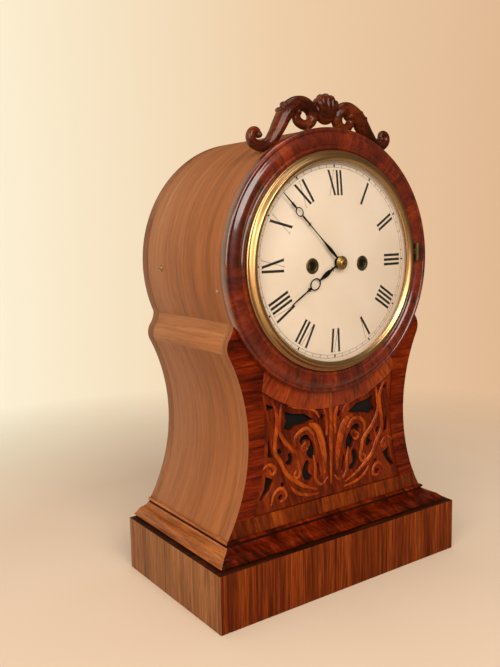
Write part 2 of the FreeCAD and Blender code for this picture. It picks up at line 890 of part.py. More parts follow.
def knuckle(radius, x, y, low, high):
    return upright_bar(radius, x, y, low, high - low)


def pin_bore(pin):
    # The bore's flats clear the corners of the pin, so that the one turns on the other.
    return (pin + running_clearance) / math.cos(math.pi / arbor_sides)


def make_bezel_hinge_fixed():
    spans = bezel_hinge_spans()
    pieces = []
    for leaf, (low, high) in zip(bezel_hinge_leaves(), (spans[0], spans[2])):
        barrel = knuckle(hinge_barrel, hinge_axis_offset, hinge_axis_plane(), low, high)
        pieces.append(barrel.fuse(leaf))
    pin = knuckle(hinge_pin, hinge_axis_offset, hinge_axis_plane(), spans[0][0], spans[2][1])
    return fused(pin, *pieces)


def make_bezel_hinge_moving():
    low, high = bezel_hinge_spans()[1]
    barrel = knuckle(hinge_barrel, hinge_axis_offset, hinge_axis_plane(), low, high)
    plane = hinge_axis_plane() + hinge_barrel
    tab = block((hinge_axis_offset - hinge_tab_reach, hinge_axis_offset), (plane - 2 * hinge_leaf, plane),
                (low, high))
    bore = knuckle(pin_bore(hinge_pin), hinge_axis_offset, hinge_axis_plane(), low, high)
    return barrel.fuse(tab).removeSplitter().cut(bore).cut(make_bezel())


def catch_block(gap=0.0):
    return block((-catch_radius - gap, -catch_radius + catch_thickness + gap),
                 (bezel_back, bezel_back + catch_depth + gap),
                 (catch_height - catch_width / 2 - gap, catch_height + catch_width / 2 + gap))


# Hands
def hand_flat(length, shares, loop):
    right = [(reach * length, half * length) for reach, half in shares]
    left = [(reach, -half) for reach, half in reversed(right)]
    loop_right = [(reach * length, half * length) for reach, half in loop]
    loop_left = [(reach, -half) for reach, half in reversed(loop_right[1:-1])]
    blade = outline([(half, reach) for reach, half in right + left])
    eye = outline([(half, reach) for reach, half in loop_right + loop_left])
    return blade.cut(eye)


def hand(length, shares, loop, boss, bore, y, bearing, dip):
    # The blade is set back from the boss towards the dial by the dip at its tip.
    blade = slab(hand_flat(length, shares, loop), 0, hand_thickness)
    blade.rotate(FreeCAD.Vector(0, 0, 0), FreeCAD.Vector(1, 0, 0), -math.degrees(math.atan2(dip, length)))
    hub = slab(plug(boss, (0, 0), knob_sides), 0, hand_thickness)
    whole = fused(blade, hub).cut(slab(socket(bore, (0, 0), arbor_sides), -overrun,
                                       2 * overrun + hand_thickness))
    whole.rotate(FreeCAD.Vector(0, 0, 0), FreeCAD.Vector(0, 1, 0), bearing)
    whole.translate(FreeCAD.Vector(0, y, dial_centre))
    return whole


# Wheels and arbors. A place is the X and Z of an arbor.
centre = (0.0, dial_centre)
going_fusee = winding_place(1)
strike_fusee = winding_place(-1)
great_module = 2 * distance(going_fusee, centre) / (great_teeth + centre_leaves)
centre_module = 2 * centre_wheel_radius / centre_teeth
third_module = 2 * third_wheel_radius / third_teeth
strike_great_module = 2 * strike_great_radius / great_teeth
pin_module = 2 * pin_wheel_radius / pin_teeth
gathering_module = 2 * gathering_wheel_radius / gathering_teeth
warning_module = 2 * warning_wheel_radius / warning_teeth
cannon_module = 2 * cannon_wheel_radius / cannon_teeth
third = polar(centre, centre_module * (centre_teeth + third_leaves) / 2, third_bearing)
escape_distance = third_module * (third_teeth + escape_leaves) / 2
escape = (0.0, third[1] + math.sqrt(escape_distance ** 2 - third[0] ** 2))
pallets = (0.0, escape[1] + escape_radius / math.sin(math.radians(pallet_bearing)))
pin_arbor = polar(strike_fusee, strike_great_module * (great_teeth + pin_leaves) / 2, pin_wheel_bearing)
gathering = polar(pin_arbor, pin_module * (pin_teeth + gathering_leaves) / 2, gathering_bearing)
warning = polar(gathering, gathering_module * (gathering_teeth + warning_leaves) / 2, warning_bearing)
fly = polar(warning, warning_module * (warning_teeth + fly_leaves) / 2, fly_bearing)
minute_stud = polar(centre, cannon_module * cannon_teeth, minute_wheel_bearing)
motion_module = 2 * distance(centre, minute_stud) / (hour_teeth + motion_leaves)
hammer_place = (hammer_offset, dial_centre + hammer_rise)
rack_place = (rack_pivot_offset, dial_centre - rack_pivot_drop)
hook_place = (hook_pivot_offset, dial_centre + hook_pivot_rise)
lifter_place = (lifter_pivot_offset, dial_centre - lifter_pivot_drop)
barrel_places = ((barrel_offset, dial_centre - barrel_drop), (-barrel_offset, dial_centre - barrel_drop))


def toothed(place, teeth, module, first_bearing):
    tip = module * (teeth / 2 + addendum)
    root = module * (teeth / 2 - dedendum)
    points = []
    for tooth in range(teeth):
        bearing = first_bearing + 360 * tooth / teeth
        points.append(polar(place, tip, bearing))
        points.append(polar(place, root, bearing + 180 / teeth))
    return outline(points)


def leaved(place, leaves, module, gap_bearing):
    tip = module * (leaves / 2 + leaf_addendum)
    root = module * (leaves / 2 - dedendum)
    pitch = 360 / leaves
    points = []
    for leaf in range(leaves):
        gap = gap_bearing + leaf * pitch
        points.append(polar(place, root, gap - pitch * leaf_root_share / 2))
        points.append(polar(place, root, gap + pitch * leaf_root_share / 2))
        points.append(polar(place, tip, gap + pitch / 2))
    return outline(points)


def crossed(flat, place, rim_radius):
    inner = crossing_hub
    outer = rim_radius - crossing_rim
    holes = []
    for arm in range(crossing_arms):
        middle = 360 * (arm + 0.5) / crossing_arms
        spread_out = 180 / crossing_arms - math.degrees(crossing_arm / outer)
        spread_in = 180 / crossing_arms - math.degrees(crossing_arm / inner / 2)
        holes.append(outline([polar(place, inner, middle - spread_in),
                              polar(place, outer, middle - spread_out),
                              polar(place, outer, middle - spread_out / 3),
                              polar(place, outer, middle + spread_out / 3),
                              polar(place, outer, middle + spread_out),
                              polar(place, inner, middle + spread_in)]))
    return flat.cut(Part.makeCompound(holes))


def arbor_radius(leaves, module):
    # An arbor is a little thinner than the root of its pinion.
    return arbor_share * module * (leaves / 2 - dedendum)


def arbor(place, radius, pivot=pivot_radius):
    front = bar(pivot, place, plate_front - pivot_reach, plate_thickness + pivot_reach + end_shake)
    body = bar(radius, place, train_front + end_shake, plate_gap - 2 * end_shake)
    back = bar(pivot, place, train_back - end_shake, plate_thickness + pivot_reach + end_shake)
    return fused(body, front, back)


def wheel_on(flat, from_front):
    return slab(flat, train_front + from_front, wheel_thickness)


def pinion_on(flat, from_front):
    return slab(flat, train_front + from_front + wheel_thickness / 2 - pinion_length / 2, pinion_length)


great_plane = train_back - great_wheel_back_gap - great_wheel_thickness
escape_plane = train_back - escape_wheel_from_back - train_front


def make_centre():
    wheel = toothed(centre, centre_teeth, centre_module, bearing_of(centre, third))
    wheel = crossed(wheel, centre, centre_module * centre_teeth / 2)
    pinion = leaved(centre, centre_leaves, great_module, bearing_of(centre, going_fusee))
    pinion = slab(pinion, great_plane + great_wheel_thickness / 2 - great_pinion_length / 2,
                  great_pinion_length)
    front_end = hand_plane(minute_hand_gap) - collet_height
    body = bar(centre_front_radius, centre, front_end, train_back - end_shake - front_end)
    back = bar(pivot_radius, centre, train_back - end_shake, plate_thickness + pivot_reach + end_shake)
    return fused(body, back, wheel_on(wheel, centre_wheel_from_front), pinion)


def make_third():
    wheel = toothed(third, third_teeth, third_module, bearing_of(third, escape))
    wheel = crossed(wheel, third, third_module * third_teeth / 2)
    pinion = leaved(third, third_leaves, centre_module, bearing_of(third, centre))
    return fused(arbor(third, arbor_radius(third_leaves, centre_module)),
                 wheel_on(wheel, third_wheel_from_front),
                 pinion_on(pinion, centre_wheel_from_front))


def make_escape():
    points = []
    pitch = 360 / escape_teeth
    for tooth in range(escape_teeth):
        bearing = pallet_bearing - escape_phase_share * pitch + tooth * pitch
        points.append(polar(escape, escape_radius, bearing))
        points.append(polar(escape, escape_root, bearing + pitch * escape_front_share))
    wheel = crossed(outline(points), escape, escape_root)
    pinion = leaved(escape, escape_leaves, third_module, bearing_of(escape, third))
    return fused(arbor(escape, arbor_radius(escape_leaves, third_module)), wheel_on(wheel, escape_plane),
                 pinion_on(pinion, third_wheel_from_front))


def fusee(place, module, mate):
    x, z = place
    wheel = slab(toothed(place, great_teeth, module, bearing_of(place, mate)), great_plane,
                 great_wheel_thickness)
    big_end = great_plane - fusee_gap
    bands = len(fusee_radii) - 1
    cone = [(radius, big_end - fusee_length * band / bands) for band, radius in enumerate(fusee_radii)]
    cone = [(0, great_plane), (fusee_radii[0], great_plane)] + cone + [(0, big_end - fusee_length)]
    cone = turned(cone, x, z, knob_sides)
    body = bar(fusee_arbor_radius, place, train_front + end_shake, plate_gap - 2 * end_shake)
    back = bar(fusee_pivot_radius, place, train_back - end_shake, plate_thickness + pivot_reach + end_shake)
    square_end = square_end_plane()
    front = bar(fusee_pivot_radius, place, plate_front, plate_thickness + end_shake)
    half = winding_square / 2
    square = block((x - half, x + half), (square_end, plate_front), (z - half, z + half))
    return fused(body, cone, wheel, back, front, square)


def square_end_plane():
    return dial_front(winding_offset) + winding_square_depth


def make_barrel(place):
    x, z = place
    front = train_front + barrel_front_gap
    back = front + barrel_length
    shell = turned([(0, front), (barrel_cap_radius, front), (barrel_cap_radius, front + barrel_cap),
                    (barrel_radius, front + barrel_cap), (barrel_radius, back), (0, back)], x, z, bell_sides)
    spindle = bar(barrel_arbor_radius, place, train_front + end_shake, plate_gap - 2 * end_shake)
    ends = bar(fusee_pivot_radius, place, plate_front - pivot_reach,
               plate_thickness * 2 + plate_gap + 2 * pivot_reach)
    return fused(shell, spindle, ends)


def make_gut():
    # Each line runs straight from the left of its barrel to the left of its fusee.
    lines = []
    band = 1
    plane = great_plane - fusee_gap - fusee_length * band / (len(fusee_radii) - 1)
    first = barrel_radius + gut_clearance + gut_radius
    last = fusee_radii[band] + gut_clearance + gut_radius
    for start, end in zip(barrel_places, (going_fusee, strike_fusee)):
        heading = bearing_of(start, end) + math.degrees(math.acos((first - last) / distance(start, end)))
        low = polar(start, first, heading)
        high = polar(end, last, heading)
        run = FreeCAD.Vector(high[0] - low[0], 0, high[1] - low[1])
        across = FreeCAD.Vector(-run.z, 0, run.x).normalize() * gut_radius
        deep = FreeCAD.Vector(0, gut_radius, 0)
        foot = point(low[0], low[1], plane)
        corners = [foot + across, foot + across / 2 + deep, foot - across / 2 + deep, foot - across,
                   foot - across / 2 - deep, foot + across / 2 - deep]
        lines.append(Part.Face(Part.makePolygon(corners + corners[:1])).extrude(run))
    return Part.makeCompound(lines)


# Striking train
def make_pin_wheel():
    wheel = toothed(pin_arbor, pin_teeth, pin_module, bearing_of(pin_arbor, gathering))
    pinion = leaved(pin_arbor, pin_leaves, strike_great_module, bearing_of(pin_arbor, strike_fusee))
    pinion = slab(pinion, great_plane + great_wheel_thickness / 2 - great_pinion_length / 2,
                  great_pinion_length)
    face_plane = train_front + pin_wheel_from_front
    pins = []
    for pin in range(lifting_pins):
        place = polar(pin_arbor, lifting_pin_circle, 360 * (pin + 0.5) / lifting_pins)
        pins.append(bar(lifting_pin_radius, place, face_plane - lifting_pin_length, lifting_pin_length,
                        pin_sides))
    return fused(arbor(pin_arbor, arbor_radius(pin_leaves, strike_great_module)),
                 wheel_on(wheel, pin_wheel_from_front), pinion, *pins)


def make_gathering():
    wheel = toothed(gathering, gathering_teeth, gathering_module, bearing_of(gathering, warning))
    pinion = leaved(gathering, gathering_leaves, pin_module, bearing_of(gathering, pin_arbor))
    front = plate_front - rack_from_plate - rack_thickness
    nose = bar(pivot_radius, gathering, front, plate_front - front)
    x, z = gathering
    heel = outline([(x - gathering_pallet_width, z), (x + gathering_pallet_width, z),
                    (x + gathering_pallet_width / 4, z + gathering_pallet_reach),
                    (x - gathering_pallet_width / 4, z + gathering_pallet_reach)])
    boss = plug(2 * pivot_radius, gathering, arbor_sides)
    tooth = slab(joined(heel, boss), front, rack_thickness)
    return fused(arbor(gathering, arbor_radius(gathering_leaves, pin_module)),
                 wheel_on(wheel, gathering_wheel_from_front), nose, tooth,
                 pinion_on(pinion, pin_wheel_from_front))


def make_warning():
    wheel = toothed(warning, warning_teeth, warning_module, bearing_of(warning, fly))
    pinion = leaved(warning, warning_leaves, gathering_module, bearing_of(warning, gathering))
    return fused(arbor(warning, arbor_radius(warning_leaves, gathering_module)),
                 wheel_on(wheel, warning_wheel_from_front), pinion_on(pinion, gathering_wheel_from_front))


def make_fly():
    pinion = leaved(fly, fly_leaves, warning_module, bearing_of(fly, warning))
    vane = block((fly[0] - fly_span, fly[0] + fly_span),
                 (train_front + pin_wheel_from_front - lifting_pin_length - fly_width,
                  train_front + pin_wheel_from_front - lifting_pin_length),
                 (fly[1] - fly_thickness / 2, fly[1] + fly_thickness / 2))
    return fused(arbor(fly, arbor_radius(fly_leaves, warning_module)), vane,
                 pinion_on(pinion, warning_wheel_from_front))


# Escapement and pendulum
def make_pallets():
    x, z = pallets
    def spread(radius, half_width):
        return math.degrees(half_width / radius)
    tip = escape_radius + pallet_lift_gap
    heel = tip + pallet_heel
    outer = heel + pallet_web
    right = [(tip, pallet_bearing + spread(tip, pallet_nib_half)),
             (tip, pallet_bearing - spread(tip, pallet_nib_half)),
             (heel, pallet_bearing - spread(heel, pallet_heel_half)), (outer, pallet_bearing)]
    inner = [(heel, pallet_bearing + spread(heel, pallet_heel_half))]
    edge = [polar(escape, radius, bearing) for radius, bearing in inner + right]
    left = [(-corner_x, corner_z) for corner_x, corner_z in reversed(edge)]
    shoulders = [(x + pallet_arm, z + pallet_arm / 2), (x - pallet_arm, z + pallet_arm / 2)]
    anchor = outline(edge + shoulders + left + [(x, z - pallet_arm)])
    anchor = slab(joined(anchor, plug(pallet_arm, pallets, arbor_sides)),
                  train_front + escape_plane + wheel_thickness / 2 - pallet_thickness / 2, pallet_thickness)
    body = bar(pallet_arbor, pallets, train_front + end_shake,
               plate_back + crutch_from_plate - train_front - end_shake)
    front = bar(pivot_radius, pallets, plate_front, plate_thickness + end_shake)
    back_end = plate_back + crutch_from_plate + crutch_thickness
    back = bar(pivot_radius, pallets, back_end, cock_rear_plane() + pivot_reach - back_end)
    strip_plane = plate_back + crutch_from_plate
    strip = block((x - crutch_width / 2, x + crutch_width / 2), (strip_plane, strip_plane + crutch_thickness),
                  (z - crutch_length, z))
    hub = bar(2 * pallet_arbor, pallets, strip_plane, crutch_thickness)
    half = rod_width / 2 + fork_gap
    far = pendulum_plane() + rod_thickness
    prongs = [block((x + start, x + start + fork_wall), (strip_plane, far),
                    (z - crutch_length, z - crutch_length + fork_depth)) for start in (-half - fork_wall,
                                                                                       half)]
    bridge = block((x - half - fork_wall, x + half + fork_wall),
                   (strip_plane, strip_plane + crutch_thickness),
                   (z - crutch_length, z - crutch_length + fork_depth))
    return fused(body, front, back, anchor, hub, strip, bridge, *prongs)


def cock_rear_plane():
    return plate_back + cock_offset


def pendulum_plane():
    return plate_back + pendulum_from_plate


def make_cock():
    x, z = pallets
    half = cock_width / 2
    reach = 3 * cock_width / 2
    bridge_plane = cock_rear_plane()
    front = bridge_plane - cock_thickness
    feet = [block((side * reach - half / 2, side * reach + half / 2), (plate_back, bridge_plane),
                  (z - half, z + half))
            for side in (-1, 1)]
    bridge = block((-reach - half / 2, reach + half / 2), (front, bridge_plane), (z - half, z + half))
    chop_back = pendulum_plane() + rod_thickness / 2 + spring_width / 2
    chops = block((-half / 2, half / 2), (bridge_plane, chop_back),
                  (z + spring_clear(), z + half + spring_clear()))
    rest = block((-half / 2, half / 2), (front, bridge_plane), (z, z + half + spring_clear()))
    hole = slab(socket(pivot_radius + running_clearance, pallets, arbor_sides), front, cock_thickness)
    return fused(bridge, chops, rest, *feet).cut(hole)


def spring_clear():
    return spring_clear_share * cock_width


def make_rod():
    x, z = pallets
    y = pendulum_plane()
    top = z - spring_length + spring_clear()
    bob_z = z - pendulum_length
    low = bob_z - bob_radius - rating_screw_length
    middle = y + rod_thickness / 2
    spring = block((-spring_thickness / 2, spring_thickness / 2),
                   (middle - spring_width / 2, middle + spring_width / 2),
                   (top, z + spring_clear() - fork_gap))
    bar = block((x - rod_width / 2, x + rod_width / 2), (y, y + rod_thickness),
                (low + rating_screw_length / 2, top))
    screw = upright_bar(rod_thickness / 2, x, middle, low, rating_screw_length)
    nut = upright_bar(rating_nut_radius, x, middle, bob_z - bob_radius - rating_nut_height, rating_nut_height)
    return fused(spring, bar, screw, nut)


def make_bob():
    x, z = pallets
    y = pendulum_plane() + rod_thickness / 2
    bob_z = z - pendulum_length
    half = bob_thickness / 2
    belly = half * bob_belly_share
    lens = turned([(0, y - half), (bob_radius / 2, y - belly), (bob_radius, y - bob_rim / 2),
                   (bob_radius, y + bob_rim / 2), (bob_radius / 2, y + belly), (0, y + half)], x, bob_z,
                  bell_sides)
    slot = block((x - rod_width / 2, x + rod_width / 2), (y - rod_thickness / 2, y + rod_thickness / 2),
                 (bob_z - bob_radius - overrun, bob_z + bob_radius + overrun))
    return lens.cut(slot)


# Motion work
def hand_plane(gap):
    return dial_front(0) - gap


def make_cannon():
    x, z = centre
    front = plate_front - cannon_from_plate - motion_thickness
    wheel = slab(toothed(centre, cannon_teeth, cannon_module, minute_wheel_bearing), front, motion_thickness)
    end = hand_plane(minute_hand_gap) + hand_thickness
    pipe = bar(cannon_pipe_radius, centre, end, front - end + motion_thickness)
    bore = slab(socket(centre_front_radius + running_clearance, centre, arbor_sides), end,
                front - end + motion_thickness)
    return fused(wheel, pipe).cut(bore)


def make_minute_wheel():
    x, z = minute_stud
    plane = plate_front - cannon_from_plate - motion_thickness
    leaf_plane = plate_front - hour_wheel_from_plate - motion_thickness + end_shake
    pitch = 360 / cannon_teeth
    wheel = toothed(minute_stud, cannon_teeth, cannon_module, bearing_of(minute_stud, centre) + pitch / 2)
    wheel = slab(wheel, plane, motion_thickness)
    pinion = leaved(minute_stud, motion_leaves, motion_module, bearing_of(minute_stud, centre))
    pinion = slab(pinion, leaf_plane, plane - leaf_plane)
    stem = bar(pivot_radius, minute_stud, plane, plate_front + plate_thickness - plane)
    return fused(wheel, pinion, stem)


def make_hour_wheel():
    x, z = centre
    plane = plate_front - hour_wheel_from_plate - motion_thickness
    wheel = slab(toothed(centre, hour_teeth, motion_module, minute_wheel_bearing), plane, motion_thickness)
    points = []
    for step in range(snail_steps):
        radius = snail_high - snail_step * step
        start = snail_phase + 360 * step / snail_steps
        points.append(polar(centre, radius, start))
        points.append(polar(centre, radius, start + 360 / snail_steps))
    snail = slab(outline(points), plane - snail_thickness, snail_thickness)
    end = hand_plane(hour_hand_gap) + hand_thickness
    pipe = bar(hour_pipe_radius, centre, end, plane - end + motion_thickness)
    bore = slab(socket(cannon_pipe_radius + running_clearance, centre, arbor_sides), end,
                plane - end + motion_thickness)
    return fused(wheel, snail, pipe).cut(bore)


def make_collet():
    y = hand_plane(minute_hand_gap)
    step, shoulder = [y - share * collet_height for share in collet_step_shares]
    bore = (centre_front_radius + running_clearance) / math.cos(math.pi / knob_sides)
    ring = ((bore, y), (collet_radius, y), (collet_radius, step), (collet_nose + collet_shoulder, shoulder),
            (bore, y - collet_height))
    return turned(ring, 0, dial_centre, knob_sides)


# Plates, pillars, studs and brackets
def pivot_holes():
    small = (third, escape, pin_arbor, gathering, warning, fly, hammer_place)
    return [socket(pivot_radius + running_clearance, place, arbor_sides) for place in small]


def plate_flat():
    low = dial_centre - plate_drop
    high = dial_centre + plate_rise
    corner = plate_corner
    half = plate_half_width
    return outline([(-half, low), (half, low), (half, high - corner), (half - corner, high),
                    (-half + corner, high),
                    (-half, high - corner)])


def make_front_plate():
    holes = pivot_holes() + [socket(centre_front_radius + running_clearance, centre, arbor_sides)]
    holes += [socket(pivot_radius + running_clearance, place, arbor_sides) for place in (pallets,
                                                                                         minute_stud)]
    holes += [socket(fusee_pivot_radius + running_clearance, place, arbor_sides)
              for place in (going_fusee, strike_fusee) + barrel_places]
    plate = slab(plate_flat().cut(Part.makeCompound(holes)), plate_front, plate_thickness)
    studs = []
    for place, reach in ((rack_place, hour_wheel_from_plate + motion_thickness + snail_thickness + stud_cap),
                         (hook_place, rack_from_plate + rack_thickness + stud_cap),
                         (lifter_place, lifter_from_plate + rack_thickness + stud_cap)):
        studs.append(bar(rack_stud_radius, place, plate_front - reach, reach))
    return fused(plate, *studs)


def make_back_plate():
    holes = pivot_holes() + [socket(pivot_radius + running_clearance, centre, arbor_sides),
                             plug(2 * pallet_arbor, pallets, arbor_sides)]
    holes += [socket(fusee_pivot_radius + running_clearance, place, arbor_sides)
              for place in (going_fusee, strike_fusee) + barrel_places]
    return slab(plate_flat().cut(Part.makeCompound(holes)), train_back, plate_thickness)


def pillar_places():
    half = plate_half_width - pillar_inset
    low = dial_centre - plate_drop + pillar_inset
    high = dial_centre + plate_rise - pillar_inset - plate_corner / 2
    return ((half, high), (-half, high), (half + pillar_radius, low + pillar_radius / 2),
            (-half - pillar_radius, low + pillar_radius / 2), (0, low))


def make_pillars():
    return Part.makeCompound([bar(pillar_radius, place, train_front, plate_gap) for place in pillar_places()])


strap_end = (plate_back + inner_back) / 2


def make_brackets():
    low = dial_centre - strap_drop - strap_height / 2
    high = low + strap_height
    outer = drum_radius - drum_wall
    span = block((plate_half_width - strap_foot, outer), (plate_back, plate_back + strap_thickness),
                 (low, high))
    arm = block((outer - strap_thickness, outer), (plate_back, strap_end), (low, high))
    strap = fused(span, arm).cut(make_drum())
    corner = (plate_half_width - pillar_inset + pillar_radius,
              dial_centre - plate_drop + pillar_inset + pillar_radius / 2)
    post = bar(front_post_radius, corner, inner_front, plate_front - inner_front)
    return both_sides(Part.makeCompound([strap, post]))


# Striking work under the dial
def arm_flat(start, end, width):
    along = FreeCAD.Vector(end[0] - start[0], 0, end[1] - start[1]).normalize()
    across = FreeCAD.Vector(-along.z, 0, along.x) * (width / 2)
    return outline([(start[0] + across.x, start[1] + across.z), (end[0] + across.x, end[1] + across.z),
                    (end[0] - across.x, end[1] - across.z), (start[0] - across.x, start[1] - across.z)])


def rack_reach():
    return distance(rack_place, gathering) - gathering_pallet_reach - rack_tip_gap


def tail_tip():
    # The tail's tip stands where its path points straight at the centre arbor.
    span = distance(rack_place, centre)
    radius = snail_high + rack_tail_gap + rack_tail_width / 2
    return polar(centre, radius, bearing_of(centre, rack_place) + math.degrees(math.acos(radius / span)))


def rack_tooth_pitch():
    return math.degrees(snail_step / distance(rack_place, tail_tip()))


def rack_start():
    # A few teeth stand past the gathering pallet when the rack is home.
    return bearing_of(rack_place, gathering) + (rack_lead_teeth + 0.5) * rack_tooth_pitch()


def make_rack():
    tip = rack_reach()
    root = tip - rack_tooth_depth
    inner = root - rack_arm
    start = rack_start()
    pitch = rack_tooth_pitch()
    teeth = []
    for tooth in range(rack_tooth_count):
        teeth.append(polar(rack_place, tip, start - tooth * pitch))
        teeth.append(polar(rack_place, root, start - (tooth + rack_tooth_back_share) * pitch))
    span = rack_tooth_count * pitch
    back = [polar(rack_place, inner, start - span * half / 2) for half in (2, 1, 0)]
    sector = outline(teeth + back)
    arm = arm_flat(rack_place, polar(rack_place, inner + rack_tooth_depth, start - span / 2), rack_arm)
    upper_plane = plate_front - rack_from_plate - rack_thickness
    upper = slab(joined(sector, arm, plug(rack_pipe_radius, rack_place, arbor_sides)), upper_plane,
                 rack_thickness)
    tail_plane = plate_front - hour_wheel_from_plate - motion_thickness - snail_thickness
    tail = arm_flat(rack_place, tail_tip(), rack_tail_width)
    tail = joined(tail, plug(rack_tail_width / 2, tail_tip(), arbor_sides),
                  plug(rack_pipe_radius, rack_place, arbor_sides))
    tail = slab(tail, tail_plane, rack_thickness)
    pipe = bar(rack_pipe_radius, rack_place, tail_plane, upper_plane + rack_thickness - tail_plane)
    bore = slab(socket(rack_stud_radius + running_clearance, rack_place, arbor_sides), tail_plane,
                upper_plane + rack_thickness - tail_plane)
    return fused(upper, tail, pipe).cut(bore)


def make_hook():
    plane = plate_front - rack_from_plate - rack_thickness
    beak_foot = polar(rack_place, rack_reach() + rack_tip_gap, rack_start() + rack_tooth_pitch())
    beak_head = (beak_foot[0], beak_foot[1] + hook_beak)
    arm = arm_flat(hook_place, beak_head, hook_arm / 2)
    beak = outline([beak_foot, (beak_head[0] + hook_beak / 3, beak_head[1] + hook_beak / 3),
                    (beak_head[0] - hook_beak / 3, beak_head[1] + hook_beak / 3)])
    hook = slab(joined(arm, beak, plug(rack_pipe_radius, hook_place, arbor_sides)), plane, rack_thickness)
    return hook.cut(slab(socket(rack_stud_radius + running_clearance, hook_place, arbor_sides), plane,
                         rack_thickness))


def make_lifter():
    plane = plate_front - lifter_from_plate - rack_thickness
    rack_plane = plate_front - rack_from_plate - rack_thickness
    tip = polar(minute_stud, cannon_module * (cannon_teeth / 2 + addendum) + lifter_gap + lifter_arm / 2,
                bearing_of(minute_stud, lifter_place))
    head = (lifter_head_offset, dial_centre + lifter_head_rise)
    lifter = slab(joined(arm_flat(lifter_place, tip, lifter_arm), arm_flat(lifter_place, head, lifter_arm),
                         plug(rack_pipe_radius, lifter_place, arbor_sides)), plane, rack_thickness)
    pin = bar(lifter_pin_radius, head, rack_plane, plane + rack_thickness - rack_plane, pin_sides)
    bore = slab(socket(rack_stud_radius + running_clearance, lifter_place, arbor_sides), plane,
                rack_thickness)
    return fused(lifter, pin).cut(bore)


# Bell, stand and hammer
bell_y = (train_front + train_back) / 2


def upright_turned(profile, sides):
    # The same flat sided form as a turned one, about an upright axis.
    form = turned(profile, 0, 0, sides)
    form.rotate(FreeCAD.Vector(0, 0, 0), FreeCAD.Vector(1, 0, 0), 90)
    form.translate(FreeCAD.Vector(0, bell_y, 0))
    return form


def make_bell():
    rim = dial_centre + bell_rim_rise
    outer = [(bell_radius * reach, rim + bell_height * rise) for reach, rise in bell_profile_shares]
    bore = (stand_stud_radius + running_clearance) / math.cos(math.pi / bell_sides)
    inner = [(max(radius - bell_wall, bore), z - (bell_wall if index > 1 else 0.0))
             for index, (radius, z) in enumerate(outer)]
    outer[-1] = (bore, outer[-1][1])
    return upright_turned(outer + list(reversed(inner)), bell_sides)


def make_bell_stand():
    rim = dial_centre + bell_rim_rise
    half = stand_bar / 2
    foot = block((stand_offset - half, stand_offset + half), (plate_back, plate_back + stand_bar),
                 (dial_centre + plate_rise - stand_foot, rim - stand_drop))
    arm_low = rim - stand_drop - stand_bar
    across = block((-half, stand_offset + half), (plate_back, plate_back + stand_bar),
                   (arm_low, rim - stand_drop))
    along = block((-half, half), (bell_y - half, plate_back + stand_bar), (arm_low, rim - stand_drop))
    crown = rim + bell_height
    stud = upright_bar(stand_stud_radius, 0, bell_y, arm_low, crown + bell_nut_height - arm_low)
    nut = upright_bar(bell_nut_radius, 0, bell_y, crown, bell_nut_height)
    seat = upright_bar(bell_seat_radius, 0, bell_y, crown - bell_wall - bell_nut_height, bell_nut_height)
    return fused(foot, across, along, stud, nut, seat)


def make_hammer():
    x, z = hammer_place
    y = train_front + hammer_from_front
    rim = dial_centre + bell_rim_rise
    bell_edge = -math.sqrt(bell_radius ** 2 - (bell_y - y - hammer_head_depth / 2) ** 2)
    face_x = bell_edge - hammer_rest_gap
    head = block((face_x - hammer_head_length, face_x), (y - hammer_head_depth / 2,
                                                         y + hammer_head_depth / 2),
                 (rim - hammer_head_height / 4, rim + 3 * hammer_head_height / 4))
    head_foot = (face_x - hammer_head_length / 2, rim)
    stem = slab(arm_flat(hammer_place, head_foot, hammer_arm), y - hammer_arm / 2, hammer_arm)
    pin_edge = pin_arbor[0] - lifting_pin_circle - lifting_pin_radius - hammer_tail_gap
    tail = block((x, pin_edge), (y - hammer_arm / 2, y + hammer_arm / 2),
                 (z - hammer_arm / 2, z + hammer_arm / 2))
    return fused(arbor(hammer_place, hammer_arm / 2), stem, tail, head)


# Rear door
def door_leaf_x():
    return -door_half_width + door_gap / 2


def door_hinge_plane():
    return back_plane + door_hinge_rise


def door_hinge_leaves(side):
    # Side is minus one for the leaf in the back board and one for the leaf in the door.
    leaves = []
    pitch = door_knuckle + hinge_gap
    for height in door_hinge_heights:
        spans = [(-1, 1)] if side < 0 else [(0, 0)]
        for first, last in spans:
            low = height + first * pitch - door_knuckle / 2
            high = height + last * pitch + door_knuckle / 2
            axis = door_leaf_x()
            edge = (axis - hinge_leaf, axis) if side < 0 else (axis, axis + hinge_leaf)
            leaves.append(block(edge, (inner_back + hinge_leaf, door_hinge_plane()), (low, high)))
    return leaves


def make_door_hinge_fixed():
    pieces = []
    pitch = door_knuckle + hinge_gap
    axis = door_leaf_x()
    for leaf, height in zip(door_hinge_leaves(-1), door_hinge_heights):
        low = height - pitch - door_knuckle / 2
        high = height + pitch + door_knuckle / 2
        gap = block((axis - 2 * door_hinge_barrel, axis + 2 * door_hinge_barrel),
                    (back_plane - door_gap, back_plane + 4 * door_hinge_barrel),
                    (height - door_knuckle / 2 - hinge_gap, height + door_knuckle / 2 + hinge_gap))
        barrel = knuckle(door_hinge_barrel, axis, door_hinge_plane(), low, high)
        pin = knuckle(door_hinge_pin, axis, door_hinge_plane(), low, high)
        pieces.append(leaf.fuse(barrel).cut(gap).fuse(pin).removeSplitter())
    return Part.makeCompound(pieces)


def make_door_hinge_moving():
    pieces = []
    axis = door_leaf_x()
    for leaf, height in zip(door_hinge_leaves(1), door_hinge_heights):
        low = height - door_knuckle / 2
        high = height + door_knuckle / 2
        barrel = knuckle(door_hinge_barrel, axis, door_hinge_plane(), low, high)
        bore = knuckle(pin_bore(door_hinge_pin), axis, door_hinge_plane(), low, high)
        pieces.append(leaf.fuse(barrel).removeSplitter().cut(bore))
    return Part.makeCompound(pieces)


